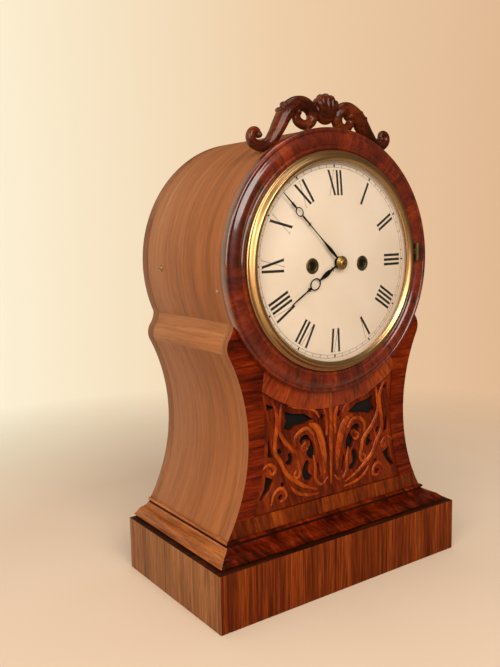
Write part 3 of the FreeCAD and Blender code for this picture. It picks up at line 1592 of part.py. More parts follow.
def make_door():
    outer = arch_face(door_half_width - door_gap, door_bottom + door_gap, door_spring)
    inner = arch_face(door_half_width - door_gap - door_frame, door_bottom + door_gap + door_frame,
                      door_spring)
    frame = slab(outer.cut(inner), inner_back, back_board_thickness)
    frame = frame.cut(door_glass())
    hole = socket(knob_shaft + running_clearance, (knob_x(), knob_height), arbor_sides)
    frame = frame.cut(slab(hole, inner_back, back_board_thickness))
    for leaf in door_hinge_leaves(1):
        frame = frame.cut(leaf)
    return frame


def door_glass():
    reach = door_frame - door_glass_lap + door_gap
    return slab(arch_face(door_half_width - reach, door_bottom + reach, door_spring), inner_back,
                door_glass_thickness)


def knob_x():
    return door_half_width - door_gap - knob_inset


def make_knob():
    x = knob_x()
    start = inner_back - tongue_gap - tongue_thickness
    shaft = bar(knob_shaft, (x, knob_height), start, back_plane - start)
    rows = ((0, 0), (knob_neck, 0), (knob_radius, knob_belly_share), (knob_neck, 1), (0, 1))
    foot = back_plane + running_clearance
    head = turned([(radius, foot + share * knob_length) for radius, share in rows], x, knob_height,
                  knob_sides)
    neck = bar(knob_shaft, (x, knob_height), back_plane, knob_length / 2)
    tongue = block((x - tongue_width / 2, x + tongue_width / 2), (start, start + tongue_thickness),
                   (knob_height - tongue_length, knob_height + tongue_width / 2))
    return fused(shaft, neck, head, tongue)


def make_catch():
    return catch_block()


nodes = {
    "plinth_boards": make_plinth(),
    "plinth_floor": make_floor(),
    "base_moulding": moulding_run(moulding_face()),
    "base_bead": moulding_run(bead_face()),
    "front_board": make_front_board(),
    "back_board": make_back_board(),
    "waist_sides": make_waist_sides(),
    "shoulder_mouldings": make_shoulders(),
    "drum_shell": make_drum(),
    "glue_blocks": make_glue_blocks(),
    "fret_panel": make_fret(),
    "fret_silk": make_silk(),
    "cresting": make_cresting(),
    "cresting_dowels": make_dowels(),
    "dial_surround": make_ring(),
    "bezel_ring": make_bezel(),
    "bezel_glass": make_glass(),
    "bezel_hinge_leaf": make_bezel_hinge_moving(),
    "bezel_hinge_plate": make_bezel_hinge_fixed(),
    "bezel_catch": make_catch(),
    "dial_plate": make_dial(),
    "dial_feet": make_dial_feet(),
    "winding_ferrules": make_ferrules(),
    "minute_hand": hand(minute_hand_length, minute_hand_shares, minute_loop_shares, minute_boss,
                        centre_front_radius + running_clearance, hand_plane(minute_hand_gap), minute_bearing,
                        minute_hand_dip),
    "hour_hand": hand(hour_hand_length, hour_hand_shares, hour_loop_shares, hour_boss,
                      cannon_pipe_radius + running_clearance, hand_plane(hour_hand_gap), hour_bearing,
                      hour_hand_dip),
    "hand_collet": make_collet(),
    "cannon_wheel": make_cannon(),
    "minute_wheel": make_minute_wheel(),
    "hour_wheel": make_hour_wheel(),
    "front_plate": make_front_plate(),
    "back_plate": make_back_plate(),
    "plate_pillars": make_pillars(),
    "movement_brackets": make_brackets(),
    "centre_wheel": make_centre(),
    "third_wheel": make_third(),
    "escape_wheel": make_escape(),
    "going_fusee": fusee(going_fusee, great_module, centre),
    "strike_fusee": fusee(strike_fusee, strike_great_module, pin_arbor),
    "going_barrel": make_barrel(barrel_places[0]),
    "strike_barrel": make_barrel(barrel_places[1]),
    "gut_lines": make_gut(),
    "pin_wheel": make_pin_wheel(),
    "gathering_wheel": make_gathering(),
    "warning_wheel": make_warning(),
    "fly": make_fly(),
    "pallets": make_pallets(),
    "back_cock": make_cock(),
    "pendulum_rod": make_rod(),
    "pendulum_bob": make_bob(),
    "rack": make_rack(),
    "rack_hook": make_hook(),
    "lifting_piece": make_lifter(),
    "bell": make_bell(),
    "bell_stand": make_bell_stand(),
    "hammer": make_hammer(),
    "rear_door": make_door(),
    "rear_door_glass": door_glass(),
    "rear_hinge_leaves": make_door_hinge_moving(),
    "rear_hinge_plates": make_door_hinge_fixed(),
    "rear_door_knob": make_knob(),
}

os.makedirs("parts", exist_ok=True)
for name, shape in nodes.items():
    shape.exportStep("parts/" + name + ".step")
    print(name, len(shape.Solids), "solids", round(shape.Volume), "mm3",
          "valid" if shape.isValid() else "NOT VALID")
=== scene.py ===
import bpy
import json
from math import asin, atan2, cos, degrees, hypot, pi, radians, sin, sqrt
from mathutils import Matrix, Vector


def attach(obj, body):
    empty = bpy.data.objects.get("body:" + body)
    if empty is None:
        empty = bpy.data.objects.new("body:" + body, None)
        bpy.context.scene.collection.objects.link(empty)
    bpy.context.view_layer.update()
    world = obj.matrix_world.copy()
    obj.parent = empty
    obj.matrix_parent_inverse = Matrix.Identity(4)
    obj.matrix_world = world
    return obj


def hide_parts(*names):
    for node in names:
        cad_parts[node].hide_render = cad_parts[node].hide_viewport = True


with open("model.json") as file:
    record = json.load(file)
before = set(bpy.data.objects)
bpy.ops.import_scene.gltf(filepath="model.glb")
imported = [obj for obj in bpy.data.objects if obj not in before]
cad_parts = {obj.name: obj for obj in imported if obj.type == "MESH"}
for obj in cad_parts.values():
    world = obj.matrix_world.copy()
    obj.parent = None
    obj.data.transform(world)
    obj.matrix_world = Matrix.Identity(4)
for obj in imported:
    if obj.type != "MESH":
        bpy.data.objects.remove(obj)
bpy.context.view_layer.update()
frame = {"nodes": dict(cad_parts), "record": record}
print("frame loaded")

# All sizes are millimetres
mm = 0.001
dialHeight = 335
frontFace, innerFront = -64.5, -54.5
innerBack, backFace = 79.5, 91.5
faceOn = (pi / 2, 0, 0)  # turns what lies flat to face the front
weldGap = 0.008
axisRadius = 0.002
levelFace = 0.9  # least upward share of a level face's normal


def metres(*sizes):
    return tuple(size * mm for size in sizes)


# Selection and edit mode
def clearSelection():
    if bpy.context.mode != "OBJECT":
        bpy.ops.object.mode_set(mode="OBJECT")
    bpy.ops.object.select_all(action="DESELECT")


def pick(*pieces):
    clearSelection()
    for piece in pieces:
        piece.select_set(True)
    bpy.context.view_layer.objects.active = pieces[0]


def joinPieces(pieces):
    pick(*pieces)
    if len(pieces) > 1:
        bpy.ops.object.join()
    return pieces[0]


def addPiece(primitive, **settings):
    clearSelection()
    primitive(**settings)
    return bpy.context.object


def settle(piece):
    # Its place, turn and scale go into its mesh
    pick(piece)
    bpy.ops.object.transform_apply(location=True, rotation=True, scale=True)


def editAll(piece):
    pick(piece)
    bpy.ops.object.mode_set(mode="EDIT")
    bpy.ops.mesh.select_mode(type="VERT")
    bpy.ops.mesh.select_all(action="SELECT")


def editFaces(piece, chosen):
    # Edit mode with only the faces selected that pass the test
    editAll(piece)
    bpy.ops.mesh.select_mode(type="FACE")
    bpy.ops.mesh.select_all(action="DESELECT")
    bpy.ops.object.mode_set(mode="OBJECT")
    for face in piece.data.polygons:
        face.select = chosen(face)
    bpy.ops.object.mode_set(mode="EDIT")


def closeMesh(piece):
    editAll(piece)
    bpy.ops.mesh.remove_doubles(threshold=weldGap * mm)
    bpy.ops.mesh.normals_make_consistent(inside=False)
    bpy.ops.object.mode_set(mode="OBJECT")
    return piece


def setAll(thing, **settings):
    for key, value in settings.items():
        setattr(thing, key, value)
    return thing


def addModifier(piece, kind, **settings):
    pick(piece)
    modifier = setAll(piece.modifiers.new(kind.title(), kind), **settings)
    bpy.ops.object.modifier_apply(modifier=modifier.name)


def cutAway(piece, tool):
    addModifier(piece, "BOOLEAN", operation="DIFFERENCE", object=tool, solver="EXACT")
    bpy.data.objects.remove(tool)


def finishPiece(piece, name, finish, nodes=(), body="case", sharp=35):
    settle(piece)
    bpy.ops.object.shade_smooth_by_angle(angle=radians(sharp))
    piece.name = piece.data.name = name
    piece.data.materials.clear()
    piece.data.materials.append(finishes[finish])
    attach(piece, body)
    if nodes:
        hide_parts(*nodes)


def addFinish(piece, finish, chosen):
    # A further finish on the faces that pass the test
    piece.data.materials.append(finishes[finish])
    for face in piece.data.polygons:
        if chosen(face):
            face.material_index = len(piece.data.materials) - 1


# Shapes
def addBall(x, y, z, radius, squash, segments=16, rings=8):
    ball = addPiece(bpy.ops.mesh.primitive_uv_sphere_add, segments=segments, ring_count=rings,
                    radius=radius * mm, location=metres(x, y, z))
    bpy.ops.transform.resize(value=squash)
    return ball


def addDrill(x, y, z, radius, depth, sides=48):
    return addPiece(bpy.ops.mesh.primitive_cylinder_add, vertices=sides, radius=radius * mm, depth=depth * mm,
                    location=metres(x, y, z), rotation=faceOn)


def chainsOf(profile):
    # A profile that meets the axis is cut there and at its widest ring,
    # so that no ring near the axis is scaled up
    rows = [(max(radius, axisRadius), height) for radius, height in profile]
    poles = [number for number, row in enumerate(rows) if row[0] == axisRadius]
    cuts = sorted({0, len(rows) - 1, *poles})
    chains = []
    for first, last in zip(cuts, cuts[1:]):
        part = rows[first:last + 1]
        widest = max(range(len(part)), key=lambda number: part[number][0])
        if part[widest][0] == axisRadius:
            continue
        if part[0][0] > axisRadius:
            chains.append(part)
        else:
            chains.append(part[widest::-1])
            if widest < len(part) - 1:
                chains.append(part[widest:])
    return chains


def turned(profile, x=0, z=dialHeight, sides=96):
    # A row of radius and depth is swept round its axis by extruding and scaling a ring
    inward = Vector((0, 1, 0))
    foot = Vector((x, 0, z))
    pieces = []
    for rows in chainsOf(profile):
        piece = addPiece(bpy.ops.mesh.primitive_circle_add, vertices=sides, radius=rows[0][0] * mm,
                         location=(foot + inward * rows[0][1]) * mm, rotation=faceOn)
        settle(piece)
        editAll(piece)
        for (radius, depth), (nextRadius, nextDepth) in zip(rows, rows[1:]):
            step = inward * (nextDepth - depth) * mm
            bpy.ops.mesh.extrude_region_move(TRANSFORM_OT_translate={"value": step})
            grow = nextRadius / radius
            bpy.ops.transform.resize(value=(grow, 1, grow), center_override=(foot + inward * nextDepth) * mm)
        bpy.ops.object.mode_set(mode="OBJECT")
        pieces.append(piece)
    return closeMesh(joinPieces(pieces))


def arcRow(x, z, radius, start, end, count):
    angles = [radians(start + (end - start) * step / count) for step in range(count + 1)]
    return [(x + radius * cos(angle), z + radius * sin(angle)) for angle in angles]


def arcThrough(first, middle, last, count):
    # The arc that runs through three points
    (ax, az), (bx, bz), (cx, cz) = first, middle, last
    d = 2 * (ax * (bz - cz) + bx * (cz - az) + cx * (az - bz))
    a2, b2, c2 = ax * ax + az * az, bx * bx + bz * bz, cx * cx + cz * cz
    x = (a2 * (bz - cz) + b2 * (cz - az) + c2 * (az - bz)) / d
    z = (a2 * (cx - bx) + b2 * (ax - cx) + c2 * (bx - ax)) / d
    start, halfway, end = (degrees(atan2(pz - z, px - x)) for px, pz in (first, middle, last))
    turn = (end - start) % 360
    if (halfway - start) % 360 > turn:
        turn -= 360
    return arcRow(x, z, hypot(ax - x, az - z), start, start + turn, count)


def mirrorRow(row):
    return [(-x, z) for x, z in reversed(row)]


def meshFrom(curve):
    piece = bpy.data.objects.new(curve.name, curve)
    bpy.context.collection.objects.link(piece)
    pick(piece)
    bpy.ops.object.convert(target="MESH")
    return bpy.context.object


def flatShape(outlines, front, depth, edge=0.3, steps=2, smooth=(), fine=6):
    # A board cut to its outline, with rounded edges; smooth lists the outlines drawn as curves
    curve = setAll(bpy.data.curves.new("board", "CURVE"), dimensions="2D", fill_mode="BOTH",
                   extrude=(depth / 2 - edge) * mm, bevel_depth=edge * mm, bevel_resolution=steps,
                   offset=-edge * mm, resolution_u=fine)
    for number, points in enumerate(outlines):
        soft = number in smooth
        spline = curve.splines.new("BEZIER" if soft else "POLY")
        row = spline.bezier_points if soft else spline.points
        row.add(len(points) - 1)
        for knot, (x, z) in zip(row, points):
            if soft:
                knot.co = metres(x, z, 0)
                knot.handle_left_type = knot.handle_right_type = "AUTO"
            else:
                knot.co = (*metres(x, z, 0), 1)
        spline.use_cyclic_u = True
    piece = setAll(meshFrom(curve), rotation_euler=faceOn, location=metres(0, front + depth / 2, 0))
    settle(piece)
    return closeMesh(piece)


def carvedRod(points, steps=4, fine=8, flat=1):
    # A carved stem through points of x, y, z and radius, flattened from front to back
    curve = setAll(bpy.data.curves.new("stem", "CURVE"), dimensions="3D", bevel_depth=mm,
                   bevel_resolution=steps, resolution_u=fine, use_fill_caps=True)
    spline = curve.splines.new("BEZIER")
    spline.bezier_points.add(len(points) - 1)
    for knot, (x, y, z, radius) in zip(spline.bezier_points, points):
        setAll(knot, co=(x * mm, y * mm / flat, z * mm), radius=radius, handle_left_type="AUTO",
               handle_right_type="AUTO")
    piece = setAll(meshFrom(curve), scale=(1, flat, 1))
    settle(piece)
    return closeMesh(piece)


def mirrorCopy(piece):
    pick(piece)
    bpy.ops.object.duplicate()
    other = setAll(bpy.context.object, scale=(-1, 1, 1))
    settle(other)
    return closeMesh(other)


# Finishes. A colour is red, green and blue from 0 to 255.
finishes = {}


def tone(red, green, blue):
    def linear(value):
        value /= 255
        return value / 12.92 if value <= 0.04045 else ((value + 0.055) / 1.055) ** 2.4
    return (linear(red), linear(green), linear(blue), 1)


def fillSockets(tree, node, inputs):
    for key, value in inputs.items():
        if isinstance(value, bpy.types.NodeSocket):
            tree.links.new(value, node.inputs[key])
        else:
            node.inputs[key].default_value = value


def addNode(tree, kind, inputs=None, **settings):
    node = setAll(tree.nodes.new("ShaderNode" + kind), **settings)
    fillSockets(tree, node, inputs or {})
    return node


def newFinish(name):
    finish = bpy.data.materials.new(name)
    finish.use_nodes = True
    finishes[name] = finish
    tree = finish.node_tree
    return tree, tree.nodes["Principled BSDF"], addNode(tree, "TexCoord").outputs["Object"]


def addRamp(tree, value, *stops):
    # Each stop is a place and a grey or a colour
    node = addNode(tree, "ValToRGB", {"Fac": value})
    while len(node.color_ramp.elements) < len(stops):
        node.color_ramp.elements.new(0.5)
    for element, (position, colour) in zip(node.color_ramp.elements, stops):
        element.position = position
        element.color = tone(*colour) if isinstance(colour, tuple) else (colour, colour, colour, 1)
    return node.outputs["Color"]


def addNoise(tree, place, scale, detail=4.0, distortion=0.0, stretch=None, rough=0.5):
    if stretch:
        place = addNode(tree, "Mapping", {"Vector": place, "Scale": stretch}).outputs["Vector"]
    return addNode(tree, "TexNoise", {"Vector": place, "Scale": scale, "Detail": detail, "Roughness": rough,
                                      "Distortion": distortion}).outputs["Fac"]


def addMix(tree, share, first, second, kind="MIX"):
    sockets = {0: share, 6: first, 7: second}
    return addNode(tree, "Mix", sockets, data_type="RGBA", blend_type=kind).outputs[2]


def addShade(tree, base, shade):
    return addMix(tree, 1.0, base, shade, "MULTIPLY")


def addMath(tree, operation, first, second):
    return addNode(tree, "Math", {0: first, 1: second}, operation=operation).outputs[0]


def addBump(tree, height, strength, distance):
    sockets = {"Height": height, "Strength": strength, "Distance": distance}
    return addNode(tree, "Bump", sockets).outputs["Normal"]


def aroundDial(tree, place):
    # Length round the dial, depth and radius, so that grain runs out from its centre
    split = addNode(tree, "SeparateXYZ", {"Vector": place})
    up = addMath(tree, "SUBTRACT", split.outputs["Z"], dialHeight * mm)
    length = addMath(tree, "MULTIPLY", addMath(tree, "ARCTAN2", split.outputs["X"], up), 0.12)
    flat = addNode(tree, "CombineXYZ", {"X": split.outputs["X"], "Y": 0.0, "Z": up})
    radius = addNode(tree, "VectorMath", {0: flat.outputs[0]}, operation="LENGTH").outputs["Value"]
    return addNode(tree, "CombineXYZ", {"X": length, "Y": split.outputs["Y"], "Z": radius}).outputs[0]


def woodFinish(name, look):
    tree, shader, place = newFinish(name)
    if look["round"]:
        place = aroundDial(tree, place)
    turn = addNode(tree, "Mapping", {"Vector": place, "Rotation": look["turn"]}).outputs["Vector"]
    grain, scale, wander = look["grain"], look["figure"], look["wander"]
    wide = tuple(min(1.0, share * 2.5) for share in grain)
    figure = addNoise(tree, turn, scale, 5.0, wander, grain, 0.55)
    cloud = addNoise(tree, turn, look["cloud"], 2.0, 0.6, wide)
    pores = addNoise(tree, turn, look["pores"], 2.0, 0.0, grain, 0.6)
    lines = addNoise(tree, turn, scale * look["lineScale"], 3.0, 0.2, grain, 0.6)
    streaks = addNoise(tree, turn, scale * 0.45, 3.0, wander * 1.5, grain)
    base = addMix(tree, look["cloudy"], figure, cloud)
    base = addRamp(tree, base, *zip((0.30, 0.44, 0.56, 0.70), look["colours"]))
    black = addRamp(tree, streaks, (0.34, 1.0), (0.46, 0.0))
    base = addMix(tree, addMix(tree, look["streaks"], (0, 0, 0, 1), black), base, tone(*look["black"]))
    base = addShade(tree, base, addRamp(tree, pores, (0.36, look["poreShade"]), (0.52, 1.0)))
    base = addShade(tree, base, addRamp(tree, lines, (0.36, look["lines"]), (0.56, 1.0)))
    rough = addRamp(tree, pores, (0.3, look["rough"] + 0.12), (0.7, look["rough"]))
    fillSockets(tree, shader, {"Base Color": base, "Roughness": rough, "Coat Weight": look["polish"],
                               "Coat Roughness": look["polishRough"], "Specular IOR Level": look["shine"],
                               "Normal": addBump(tree, pores, look["pits"], 0.0002)})


# Grain is how far the figure is drawn out along each axis
frontLook = {"round": False, "turn": (0, 0, 0), "grain": (0.1, 1, 1), "figure": 190, "wander": 0.9,
             "cloud": 30, "cloudy": 0.5, "pores": 1500, "poreShade": 0.66, "streaks": 0.6,
             "black": (24, 7, 3), "lines": 0.6, "lineScale": 2.6, "pits": 0.1, "rough": 0.3,
             "polish": 0.14, "polishRough": 0.08, "shine": 0.05,
             "colours": ((40, 8, 2), (88, 20, 2), (122, 36, 4), (156, 60, 9))}
ringLook = dict(frontLook, round=True, grain=(1, 1, 0.15), figure=150, cloud=22, cloudy=0.6, polish=0.9,
                shine=0.3, colours=((48, 9, 1), (90, 21, 1), (118, 34, 2), (148, 52, 6)))
ogeeLook = dict(frontLook, grain=(1, 0.35, 0.22), turn=(0, 0.6, 0), figure=120, polish=0.3,
                colours=((22, 5, 1), (62, 12, 1), (112, 30, 3), (158, 60, 10)))
fretLook = dict(frontLook, grain=(1, 1, 0.15), turn=(0, 0.25, 0), figure=140, cloud=28, streaks=0.5,
                polish=0.2, polishRough=0.2, colours=((44, 11, 2), (86, 23, 3), (114, 36, 4), (142, 54, 9)))
plinthLook = dict(frontLook, grain=(1, 1, 0.03), figure=330, wander=0.4, cloud=40, cloudy=0.4, streaks=0.4,
                  black=(46, 16, 4), lines=0.55, pits=0.2, rough=0.5, polish=0, polishRough=0.2,
                  colours=((66, 22, 4), (104, 39, 9), (128, 54, 14), (152, 76, 26)))
sideLook = dict(frontLook, grain=(0.05, 1, 0.05), figure=80, wander=1.2, cloud=14, cloudy=0.55,
                poreShade=0.86, streaks=0.22, black=(96, 56, 30), lines=0.84, pits=0.2, rough=0.45,
                polish=0.04, polishRough=0.22, shine=0.12,
                colours=((118, 68, 36), (141, 83, 45), (155, 95, 53), (172, 113, 68)))
backLook = dict(sideLook, grain=(1, 1, 0.05), rough=0.5, polish=0.1,
                colours=((84, 48, 26), (112, 66, 36), (132, 82, 48), (146, 96, 60)))
woods = {
    "front_rosewood": frontLook, "ring_rosewood": ringLook, "ogee_rosewood": ogeeLook,
    "fret_rosewood": fretLook, "plinth_rosewood": plinthLook, "side_rosewood": sideLook,
    "back_mahogany": backLook, "band_rosewood": dict(sideLook, grain=(1, 0.05, 1), figure=120),
    # The crossbanding under the ring is lighter than the ring: partly its own veneer, partly painted light
    # where the lower front is lit more
    "crossband_painted_light_rosewood": dict(ringLook, figure=210, streaks=0.4, polish=0.14,
                                 colours=((84, 22, 2), (124, 38, 3), (150, 56, 6), (176, 80, 14))),
    "rail_rosewood": dict(frontLook, grain=(1, 1, 0.1), turn=(0, 0.2, 0), figure=170, streaks=0.4,
                          colours=((64, 20, 3), (98, 34, 5), (124, 48, 8), (150, 70, 18))),
    "side_ogee_rosewood": dict(ogeeLook, grain=(1, 0.07, 1), turn=(0, 0, 0), polish=0.25, streaks=0.3,
                               black=(64, 32, 16),
                               colours=((118, 60, 26), (150, 82, 38), (172, 100, 50), (190, 122, 66))),
    # Lighter than the fret's ground, as a painted highlight where light catches the raised carving
    "leaf_painted_highlight_rosewood": dict(fretLook, turn=(0, 0.5, 0), streaks=0.3, polish=0.3,
                          colours=((98, 30, 4), (138, 48, 5), (164, 68, 9), (188, 92, 20))),
    "plinth_side_rosewood": dict(plinthLook, streaks=0.3, black=(84, 48, 26), lines=0.75,
                                 colours=((108, 64, 36), (134, 84, 50), (150, 98, 60), (168, 116, 74))),
    "door_mahogany": dict(backLook, rough=0.35, polish=0.25,
                          colours=((104, 50, 22), (132, 68, 32), (150, 82, 42), (166, 98, 54))),
    "inner_pine": dict(backLook, streaks=0.15, rough=0.6, polish=0,
                       colours=((120, 84, 50), (150, 110, 70), (168, 128, 86), (184, 146, 104))),
    "carved_rosewood": dict(frontLook, grain=(0.3, 1, 1), figure=120, streaks=0.5, polish=0.3,
                            colours=((40, 12, 4), (72, 24, 7), (98, 38, 12), (122, 54, 20))),
    # A dark wood finish laid on faces that sit in shade, as painted shade
    "painted_shade_wood": dict(frontLook, polish=0.1, colours=((30, 11, 5), (46, 18, 8), (60, 25, 11), (78, 34, 15)))}
for name, look in woods.items():
    woodFinish(name, look)


def metalFinish(name, look):
    tree, shader, place = newFinish(name)
    tarnish = addNoise(tree, place, look["tarnishScale"], 4.0, 0.4)
    scratch = addNoise(tree, place, look["scratchScale"], 2.0)
    base = addRamp(tree, tarnish, (0.25, look["dark"]), (0.75, look["colour"]))
    fillSockets(tree, shader, {
        "Base Color": addShade(tree, base, addRamp(tree, scratch, (0.3, 0.86), (0.6, 1.0))),
        "Roughness": addRamp(tree, tarnish, (0.3, look["rough"] + 0.16), (0.7, look["rough"])),
        "Normal": addBump(tree, scratch, look["scratches"], 0.0001), "Metallic": 1.0})


brassLook = {"dark": (204, 152, 96), "colour": (234, 192, 136), "rough": 0.24, "tarnishScale": 22,
             "scratchScale": 900, "scratches": 0.01}
metals = {
    "bezel_brass": brassLook,
    "clock_brass": dict(brassLook, dark=(176, 134, 74), colour=(208, 168, 100), rough=0.3),
    "dark_brass": dict(brassLook, dark=(96, 76, 50), colour=(152, 124, 84), rough=0.34, tarnishScale=300),
    "blued_steel": dict(brassLook, dark=(14, 12, 14), colour=(40, 34, 34), rough=0.32),
    "pale_steel": dict(brassLook, dark=(110, 108, 104), colour=(176, 174, 170), rough=0.3),
    "bell_metal": dict(brassLook, dark=(120, 92, 58), colour=(184, 150, 104), rough=0.26)}
for name, look in metals.items():
    metalFinish(name, look)


def paintFinish():
    tree, shader, place = newFinish("painted_dial")
    cloud = addNoise(tree, place, 14.0, 3.0, 0.5)
    speck = addNoise(tree, place, 900.0, 2.0)
    cracks = addNode(tree, "TexVoronoi", {"Vector": place, "Scale": 220.0}, feature="DISTANCE_TO_EDGE")
    base = addRamp(tree, cloud, (0.3, (232, 206, 184)), (0.7, (242, 220, 202)))
    base = addShade(tree, base, addRamp(tree, speck, (0.28, 0.93), (0.4, 1.0)))
    base = addShade(tree, base, addRamp(tree, cracks.outputs["Distance"], (0.0, 0.95), (0.02, 1.0)))
    fillSockets(tree, shader, {"Base Color": base, "Normal": addBump(tree, cloud, 0.05, 0.0005),
                               "Roughness": 0.38, "Coat Weight": 0.3, "Coat Roughness": 0.15})


def inkFinish():
    tree, shader, place = newFinish("dial_black")
    wear = addNoise(tree, place, 500.0, 3.0)
    base = addRamp(tree, wear, (0.3, (52, 44, 38)), (0.55, (20, 17, 15)))
    fillSockets(tree, shader, {"Base Color": base, "Roughness": 0.45})


def glassFinish():
    tree, shader, place = newFinish("clear_glass")
    tree.nodes.remove(shader)
    wave = addBump(tree, addNoise(tree, place, 9.0, 1.0), 0.06, 0.002)
    shine = addNode(tree, "BsdfGlossy", {"Color": (1, 1, 1, 1), "Roughness": 0.02, "Normal": wave})
    clear = addNode(tree, "BsdfTransparent", {"Color": (0.97, 0.98, 0.97, 1)})
    facing = addNode(tree, "LayerWeight", {"Blend": 0.5}).outputs["Facing"]
    edge = addRamp(tree, facing, (0.0, 0.035), (0.55, 0.07), (0.8, 0.22), (1.0, 0.9))
    mix = addNode(tree, "MixShader", {0: edge, 1: clear.outputs[0], 2: shine.outputs[0]})
    fillSockets(tree, tree.nodes["Material Output"], {"Surface": mix.outputs[0]})


def silkFinish():
    tree, shader, place = newFinish("dark_silk")
    threads = {"Vector": place, "Scale": 420.0}
    across, down = (addNode(tree, "TexWave", threads, bands_direction=axis).outputs["Fac"] for axis in "XZ")
    weave = addMix(tree, 0.5, across, down)
    fade = addRamp(tree, addNoise(tree, place, 18.0, 3.0), (0.3, (10, 7, 6)), (0.7, (24, 18, 15)))
    base = addShade(tree, fade, addRamp(tree, weave, (0.2, 0.7), (0.8, 1.0)))
    fillSockets(tree, shader, {"Base Color": base, "Normal": addBump(tree, weave, 0.4, 0.0001),
                               "Roughness": 0.7, "Specular IOR Level": 0.15, "Sheen Weight": 0.03})


def gutFinish():
    tree, shader, place = newFinish("gut_line")
    twist = addNoise(tree, place, 700.0, 2.0, 0.0, (1, 1, 0.3))
    base = addRamp(tree, twist, (0.3, (120, 84, 44)), (0.7, (186, 146, 90)))
    fillSockets(tree, shader, {"Base Color": base, "Roughness": 0.5})


for makeFinish in (paintFinish, inkFinish, glassFinish, silkFinish, gutFinish):
    makeFinish()
print("finishes made")

# Finishes of the nodes that stay as they are, by node or else by material slot
carriedFinish = {"front_veneer": "front_rosewood", "case_veneer": "side_rosewood", "silk": "dark_silk",
                 "plinth_veneer": "plinth_rosewood", "carved_wood": "carved_rosewood", "gut": "gut_line",
                 "carcase_wood": "inner_pine", "polished_brass": "bezel_brass", "steel": "pale_steel",
                 "bezel_hinge_leaf": "dark_brass", "bezel_hinge_plate": "dark_brass",
                 "bezel_catch": "dark_brass", "cresting_dowels": "carved_rosewood"}
for part in frame["record"]["subparts"]:
    node, slot = part["node"], part["material_slot"]
    carried = frame["nodes"][node].data.materials
    carried.clear()
    carried.append(finishes[carriedFinish.get(node) or carriedFinish.get(slot, slot)])
print("carried nodes finished")

# Plinth: mitred boards under a vertical veneer
plinth = {"width": 318, "depth": 183, "height": 57.5, "board": 11, "edge": 0.7, "sharp": 40}


def makePlinth():
    width, depth, height, board = (plinth[key] for key in ("width", "depth", "height", "board"))
    piece = addPiece(bpy.ops.mesh.primitive_cube_add, size=1, location=metres(0, 0, height / 2))
    piece.scale = metres(width, depth, height)
    settle(piece)
    for end in (0, height):
        editFaces(piece, lambda face: abs(face.center.z - end * mm) < board / 2 * mm)
        bpy.ops.mesh.inset(thickness=board * mm)
    # The inner faces of both ends are bridged to a hollow
    editFaces(piece, lambda face: abs(face.normal.z) > levelFace and face.center.xy.length < board * mm)
    bpy.ops.mesh.bridge_edge_loops()
    closeMesh(piece)
    addModifier(piece, "BEVEL", width=plinth["edge"] * mm, segments=2, limit_method="ANGLE",
                angle_limit=radians(plinth["sharp"]))
    finishPiece(piece, "plinth_boards_veneered", "plinth_rosewood", ["plinth_boards"])
    addFinish(piece, "plinth_side_rosewood", lambda face: abs(face.center.x) > (width - board) / 2 * mm)
    # The plinth's upward faces are darkened as painted shade under the moulding's lip
    addFinish(piece, "painted_shade_wood", lambda face: face.normal.z > levelFace)


makePlinth()
print("plinth made")

# Ogee base moulding with its bead, in the real one's three lengths, as rows of reach and height
# footShadeTop and beadShadeBand are the heights of the painted shade under the lip and in the quirk below the
# bead
moulding = {"half": 132, "sideFrom": 60, "backLap": 0.1, "weld": 0.01, "footShadeTop": 59.2, "beadShadeBand": (70, 71.8),
            "sharp": 50}
ogee = (
    (0.2, 57.5), (18.8, 57.5), (18.8, 59), (19.2, 59.3), (20.6, 59.3), (21, 59.7), (21, 60.4), (19.6, 60.9),
    (18.2, 61.7), (16.9, 62.8), (15.6, 64), (14.2, 65.1), (12.6, 65.9), (10.8, 66.3), (8.8, 66.6),
    (7, 67.1), (5.4, 67.9), (4, 68.9), (2.9, 70), (2, 70.4), (1.6, 70.5), (1.6, 71.6), (2.5, 71.9),
    (3, 72.6), (3.2, 73.4), (3, 74.2), (2.4, 74.7), (1.6, 75), (0.2, 75))


